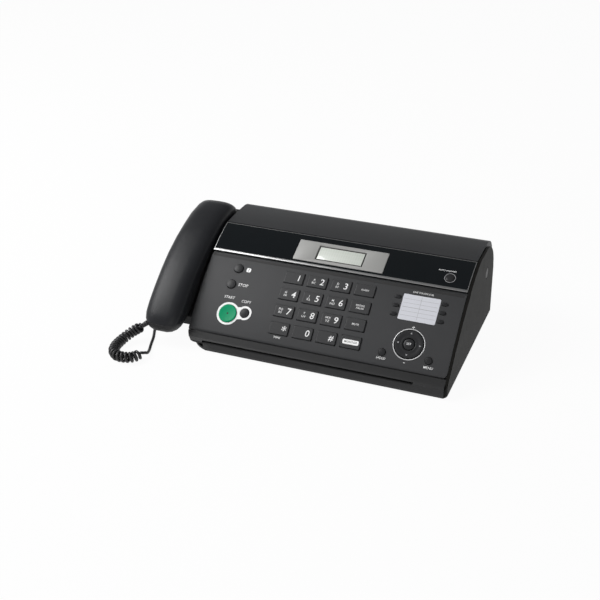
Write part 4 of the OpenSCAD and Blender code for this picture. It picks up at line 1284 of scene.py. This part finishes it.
@dataclass(frozen=True)
class Legend:
    """What is printed on a dial key.

    Attributes:
        main: The large character, or nothing.
        rows: The small rows beside it.
        at: Place of the large character on the key.
        size: Its height.
        patch: Whether the legend is dark print on a white patch.
    """

    main: str = ""
    rows: tuple[str, ...] = ()
    at: tuple[float, float] = (5.2, 0.0)
    size: float = 7.4
    patch: bool = False


LEGENDS: dict[str, Legend] = {
    "key_1": Legend("1"), "key_2": Legend("2", ("A", "BC")), "key_3": Legend("3", ("D", "EF")),
    "key_4": Legend("4", ("G", "HI")), "key_5": Legend("5", ("J", "KL")),
    "key_6": Legend("6", ("M", "NO")), "key_7": Legend("7", ("PQ", "RS")),
    "key_8": Legend("8", ("T", "UV")), "key_9": Legend("9", ("WX", "YZ")),
    "key_0": Legend("0"), "key_star": Legend("*", (), (5.0, -1.8), 9.5),
    "key_hash": Legend("#", (), (5.0, 0.0), 6.6),
    "key_flash": Legend(rows=("FLASH",)), "key_redial": Legend(rows=("REDIAL", "PAUSE")),
    "key_mute": Legend(rows=("MUTE",)), "key_monitor": Legend(rows=("MONITOR",), patch=True)}


@dataclass
class Keypad:
    """The sixteen dial keys.

    Attributes:
        width: Width of a key.
        length: Its length up the slope.
        proud: How far its top stands over the panel.
        corner: Radius of its corners in plan.
        rim: Rounding of its top edge.
    """

    width: float = 22.0
    length: float = 13.6
    proud: float = 1.3
    corner: float = 1.4
    rim: float = 0.55
    pitch: tuple[float, float] = (27.5, 20.2)
    first: tuple[float, float] = (-45.0, 19.6)
    rows: tuple[tuple[str, ...], ...] = (
        ("key_star", "key_0", "key_hash", "key_monitor"),
        ("key_7", "key_8", "key_9", "key_mute"),
        ("key_4", "key_5", "key_6", "key_redial"),
        ("key_1", "key_2", "key_3", "key_flash"))

    def cap(self, name: str, at: tuple[float, float], legend: Legend,
            finishes: Finishes) -> None:
        """Makes one key with its legend.

        Args:
            name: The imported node.
            at: Its (x, s) place.
            legend: Its print.
            finishes: The machine's finishes.
        """
        low = FLANGE_TOP
        form = Form()
        levels = ((0.0, low), (0.0, self.proud - self.rim), (0.07, self.proud - 0.3),
                  (0.2, self.proud - 0.1), (self.rim, self.proud), (0.85, self.proud))
        rings = [[form.bm.verts.new((x, y, z)) for x, y in pill_outline(
            self.width - 2 * inset, self.length - 2 * inset, self.corner - inset, 4)]
            for inset, z in levels]
        for lower, upper in zip(rings, rings[1:]):
            for i in range(len(lower)):
                j = (i + 1) % len(lower)
                form.bm.faces.new((lower[i], lower[j], upper[j], upper[i]))
        form.bm.faces.new(rings[-1])
        form.bm.faces.new(rings[0][::-1])
        form.block((self.width + 2.4, self.length + 2.4, 1.4), (0, 0, low - 0.7))
        form.rod(2.0, (0, 0, STEM_LOW), (0, 0, low), 20)
        form.outward()
        lift, ink = self.proud + 0.05, 1
        if legend.patch:
            known = set(form.bm.faces)
            form.slab(pill_outline(18.0, 5.2, 1.3, 4), self.proud - 0.2, lift)
            form.outward(form.added(known))
            form.tag(1, known)
            lift, ink = lift + 0.04, 2
        known = set(form.bm.faces)
        if legend.main:
            form.text(legend.main, legend.size, legend.at, lift, 0.1, 0.035)
        for k, words in enumerate(legend.rows):
            size = 2.1 if len(words) > 2 else 2.6
            side = 0.0 if not legend.main else -4.2
            step = (len(legend.rows) - 1) / 2 - k
            form.text(words, size, (side, step * (size + 1.1)), lift, 0.1, 0.012, 1.08)
        form.tag(ink, known)
        form.shift(PANEL.seat(*at))
        piece = form.finish(f"{name}_cap", [finishes.key, finishes.white, finishes.dark],
                            outward=False)
        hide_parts(name)
        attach(piece, name)

    def build(self, finishes: Finishes) -> None:
        """Makes every key.

        Args:
            finishes: The machine's finishes.
        """
        for j, names in enumerate(self.rows):
            for i, name in enumerate(names):
                at = (self.first[0] + i * self.pitch[0], self.first[1] + j * self.pitch[1])
                self.cap(name, at, LEGENDS[name], finishes)
        LOG.info("keypad: %d keys", sum(len(r) for r in self.rows))


def pill_outline(width: float, height: float, radius: float,
                 steps: int) -> list[tuple[float, float]]:
    """Gives the outline of a rectangle with round corners.

    Args:
        width: Its width.
        height: Its height.
        radius: Radius of the corners.
        steps: Steps in each corner.

    Returns:
        The corner points in order.
    """
    out = []
    for k, (sx, sy) in enumerate(((1, 1), (-1, 1), (-1, -1), (1, -1))):
        for i in range(steps + 1):
            a = math.radians(90 * k + 90 * i / steps)
            out.append((sx * (width / 2 - radius) + radius * math.cos(a),
                        sy * (height / 2 - radius) + radius * math.sin(a)))
    return out


@dataclass(frozen=True)
class RoundButton:
    """A round push button.

    Attributes:
        node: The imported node.
        at: Its (x, s) place.
        radius: Radius of its cap.
        proud: How far it stands over the panel.
        dish: How far its top is domed, or hollowed where below zero.
        green: Whether it is the green one.
    """

    node: str
    at: tuple[float, float]
    radius: float
    proud: float
    dish: float
    green: bool = False


@dataclass
class Buttons:
    """The round function buttons and the one touch pills."""

    round_ones: tuple[RoundButton, ...] = (
        RoundButton("help_button", (-112.6, 80.4), 5.4, 1.2, 0.5),
        RoundButton("stop_button", (-115.1, 60.3), 5.4, 1.2, 0.4),
        RoundButton("start_button", (-108.7, 25.9), 10.3, 1.6, -0.7, True),
        RoundButton("copy_button", (-89.5, 29.6), 5.3, 1.2, 0.4),
        RoundButton("menu_button", (124.0, 16.0), 3.9, 1.1, 0.35),
        RoundButton("broadcast_button", (73.3, 16.0), 3.9, 1.1, 0.35))
    pill_x: tuple[float, float] = (74.6, 126.0)
    pill_s: tuple[float, ...] = (60.0, 70.2, 80.4)

    @staticmethod
    def turned_button(button: RoundButton, finishes: Finishes) -> None:
        """Makes one round button.

        Args:
            button: Its sizes.
            finishes: The machine's finishes.
        """
        r, p, d = button.radius, button.proud, button.dish
        top = [(r * t, p + d * (1 - t * t) - 0.02) for t in (0.0, 0.25, 0.5, 0.7, 0.82)]
        rim = [(r - 0.55, p + (0.0 if d < 0 else 0.1)), (r - 0.2, p - 0.15), (r, p - 0.5)]
        form = Form()
        form.turned([*top, *rim, (r, FLANGE_TOP), (r + 1.2, FLANGE_TOP),
                     (r + 1.2, FLANGE_LOW), (2, FLANGE_LOW), (2, STEM_LOW), (0, STEM_LOW)],
                    56 if r > 8 else 40)
        form.outward()
        if button.green:
            known = set(form.bm.faces)
            form.slab([(0, 1.5), (-1.1, 0), (0, -1.5), (1.1, 0)], p + d - 0.1, p + d + 0.05)
            form.outward(form.added(known))
            form.tag(1, known)
        form.shift(PANEL.seat(*button.at))
        coat = finishes.green if button.green else finishes.button
        piece = form.finish(f"{button.node}_cap", [coat, finishes.dark], 40, False)
        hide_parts(button.node)
        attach(piece, button.node)

    def build(self, finishes: Finishes) -> None:
        """Makes every button.

        Args:
            finishes: The machine's finishes.
        """
        for button in self.round_ones:
            self.turned_button(button, finishes)
        for k in range(6):
            node, at = f"one_touch_{k + 1}", (self.pill_x[k // 3], self.pill_s[k % 3])
            form = Form()
            form.slab(pill_outline(6.8, 3.8, 1.9, 8), FLANGE_TOP, 0.95)
            form.soften(lambda e: min(v.co.z for v in e.verts) > 0.94
                        and e.calc_face_angle(0.0) > 0.5, 0.6, 3)
            form.slab(pill_outline(8.4, 5.4, 2.7, 6), FLANGE_LOW, FLANGE_TOP)
            form.rod(1.5, (0, 0, STEM_LOW), (0, 0, FLANGE_TOP), 16)
            form.shift(PANEL.seat(*at))
            piece = form.finish(f"{node}_cap", [finishes.button])
            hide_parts(node)
            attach(piece, node)
        LOG.info("buttons: %d round, 6 one touch", len(self.round_ones))


@dataclass
class Navigator:
    """The rocking ring with its silver trim and the set button in it.

    Attributes:
        at: Its (x, s) place.
        radius: Outer radius of the ring.
        top: Height of its rim over the panel.
        set_radius: Radius of the set button.
    """

    at: tuple[float, float] = (99.7, 29.4)
    radius: float = 15.4
    top: float = 1.2
    set_radius: float = 6.0

    def build(self, finishes: Finishes) -> None:
        """Makes the navigator.

        Args:
            finishes: The machine's finishes.
        """
        r, t, seat = self.radius, self.top, PANEL.seat(*self.at)
        form = Form()
        form.turned([(r, -2.4), (r, t - 0.5), (r - 0.25, t - 0.12), (r - 0.7, t),
                     (11.4, t - 0.55), (8.6, t - 0.75), (7.5, t - 0.5), (7.0, t - 0.75),
                     (6.9, t - 1.2), (6.9, -2.4), (9.4, -2.4), (9.4, -5.4), (r - 2, -5.4),
                     (r - 2, -2.4)], 72)
        form.outward()
        known = set(form.bm.faces)
        for k in range(4):
            a = math.pi / 2 * k
            c, s = math.cos(a), math.sin(a)
            base, tip, half = 11.2, 13.2, 1.1
            form.slab([(base * c - half * s, base * s + half * c), (tip * c, tip * s),
                       (base * c + half * s, base * s - half * c)][::-1], t - 0.75, t - 0.12)
        form.outward(form.added(known))
        form.tag(1, known)
        form.shift(seat)
        ring = form.finish("navigator_ring", [finishes.button, finishes.grey_print], 40, False)
        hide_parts("nav_ring")
        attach(ring, "nav")

        trim = Form()
        trim.turned([(r + 0.95, 0.05), (r + 1.0, 0.32), (r + 1.3, 0.5), (r + 1.75, 0.42),
                     (r + 1.95, 0.1), (r + 1.9, -0.3), (r + 0.95, -0.3)], 72)
        trim.shift(seat)
        silver = trim.finish("navigator_trim", [finishes.bright], 60)
        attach(silver, "panel")

        q = self.set_radius
        middle = Form()
        middle.turned([(0, t + 0.35), (2.5, t + 0.3), (4.6, t + 0.12), (q - 0.4, t - 0.1),
                       (q - 0.08, t - 0.4), (q, t - 0.8), (q, -2.2), (3, -2.2), (3, -6.6),
                       (0, -6.6)], 40)
        middle.outward()
        known = set(middle.bm.faces)
        middle.text("SET", 2.4, (0, 0), t + 0.37, 0.0, 0.015)
        middle.tag(1, known)
        middle.shift(seat)
        cap = middle.finish("set_cap", [finishes.button, finishes.white], 40, False)
        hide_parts("set_button")
        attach(cap, "set")
        repaint("nav_rocker_plate", finishes.inner)


# ---------- inside ----------


@dataclass
class Works:
    """The boards, the drive and the paper path inside the cabinet."""

    def build(self, finishes: Finishes) -> None:
        """Gives the inside parts their finishes.

        Args:
            finishes: The machine's finishes.
        """
        for node, finish in (
                ("main_board", finishes.board), ("power_supply", finishes.supply),
                ("thermal_head", finishes.steel), ("image_sensor", finishes.dark),
                ("drive_motor", finishes.steel), ("speaker", finishes.dark),
                ("platen_roller", finishes.rubber), ("feed_roller", finishes.rubber),
                ("motor_pinion", finishes.gear), ("paper_roll", finishes.paper)):
            repaint(node, finish)


# ---------- the whole machine ----------


def record_size() -> None:
    """Updates the view layer."""
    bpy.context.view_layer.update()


def main() -> None:
    """Builds the room and the machine, piece by piece."""
    logging.basicConfig(level=logging.INFO, format="%(name)s: %(message)s")
    bpy.context.scene.view_settings.view_transform = "Standard"
    room, finishes = Room(), Finishes()
    room.camera()
    HandsetCord().build(finishes)
    room.floor()
    room.light()
    for part in (Casing(), Handset(), Panel(), Band(), Keypad(), Buttons(), Navigator(), Works()):
        part.build(finishes)
        LOG.info("%s built", type(part).__name__)
    record_size()


if __name__ == "__main__":
    main()
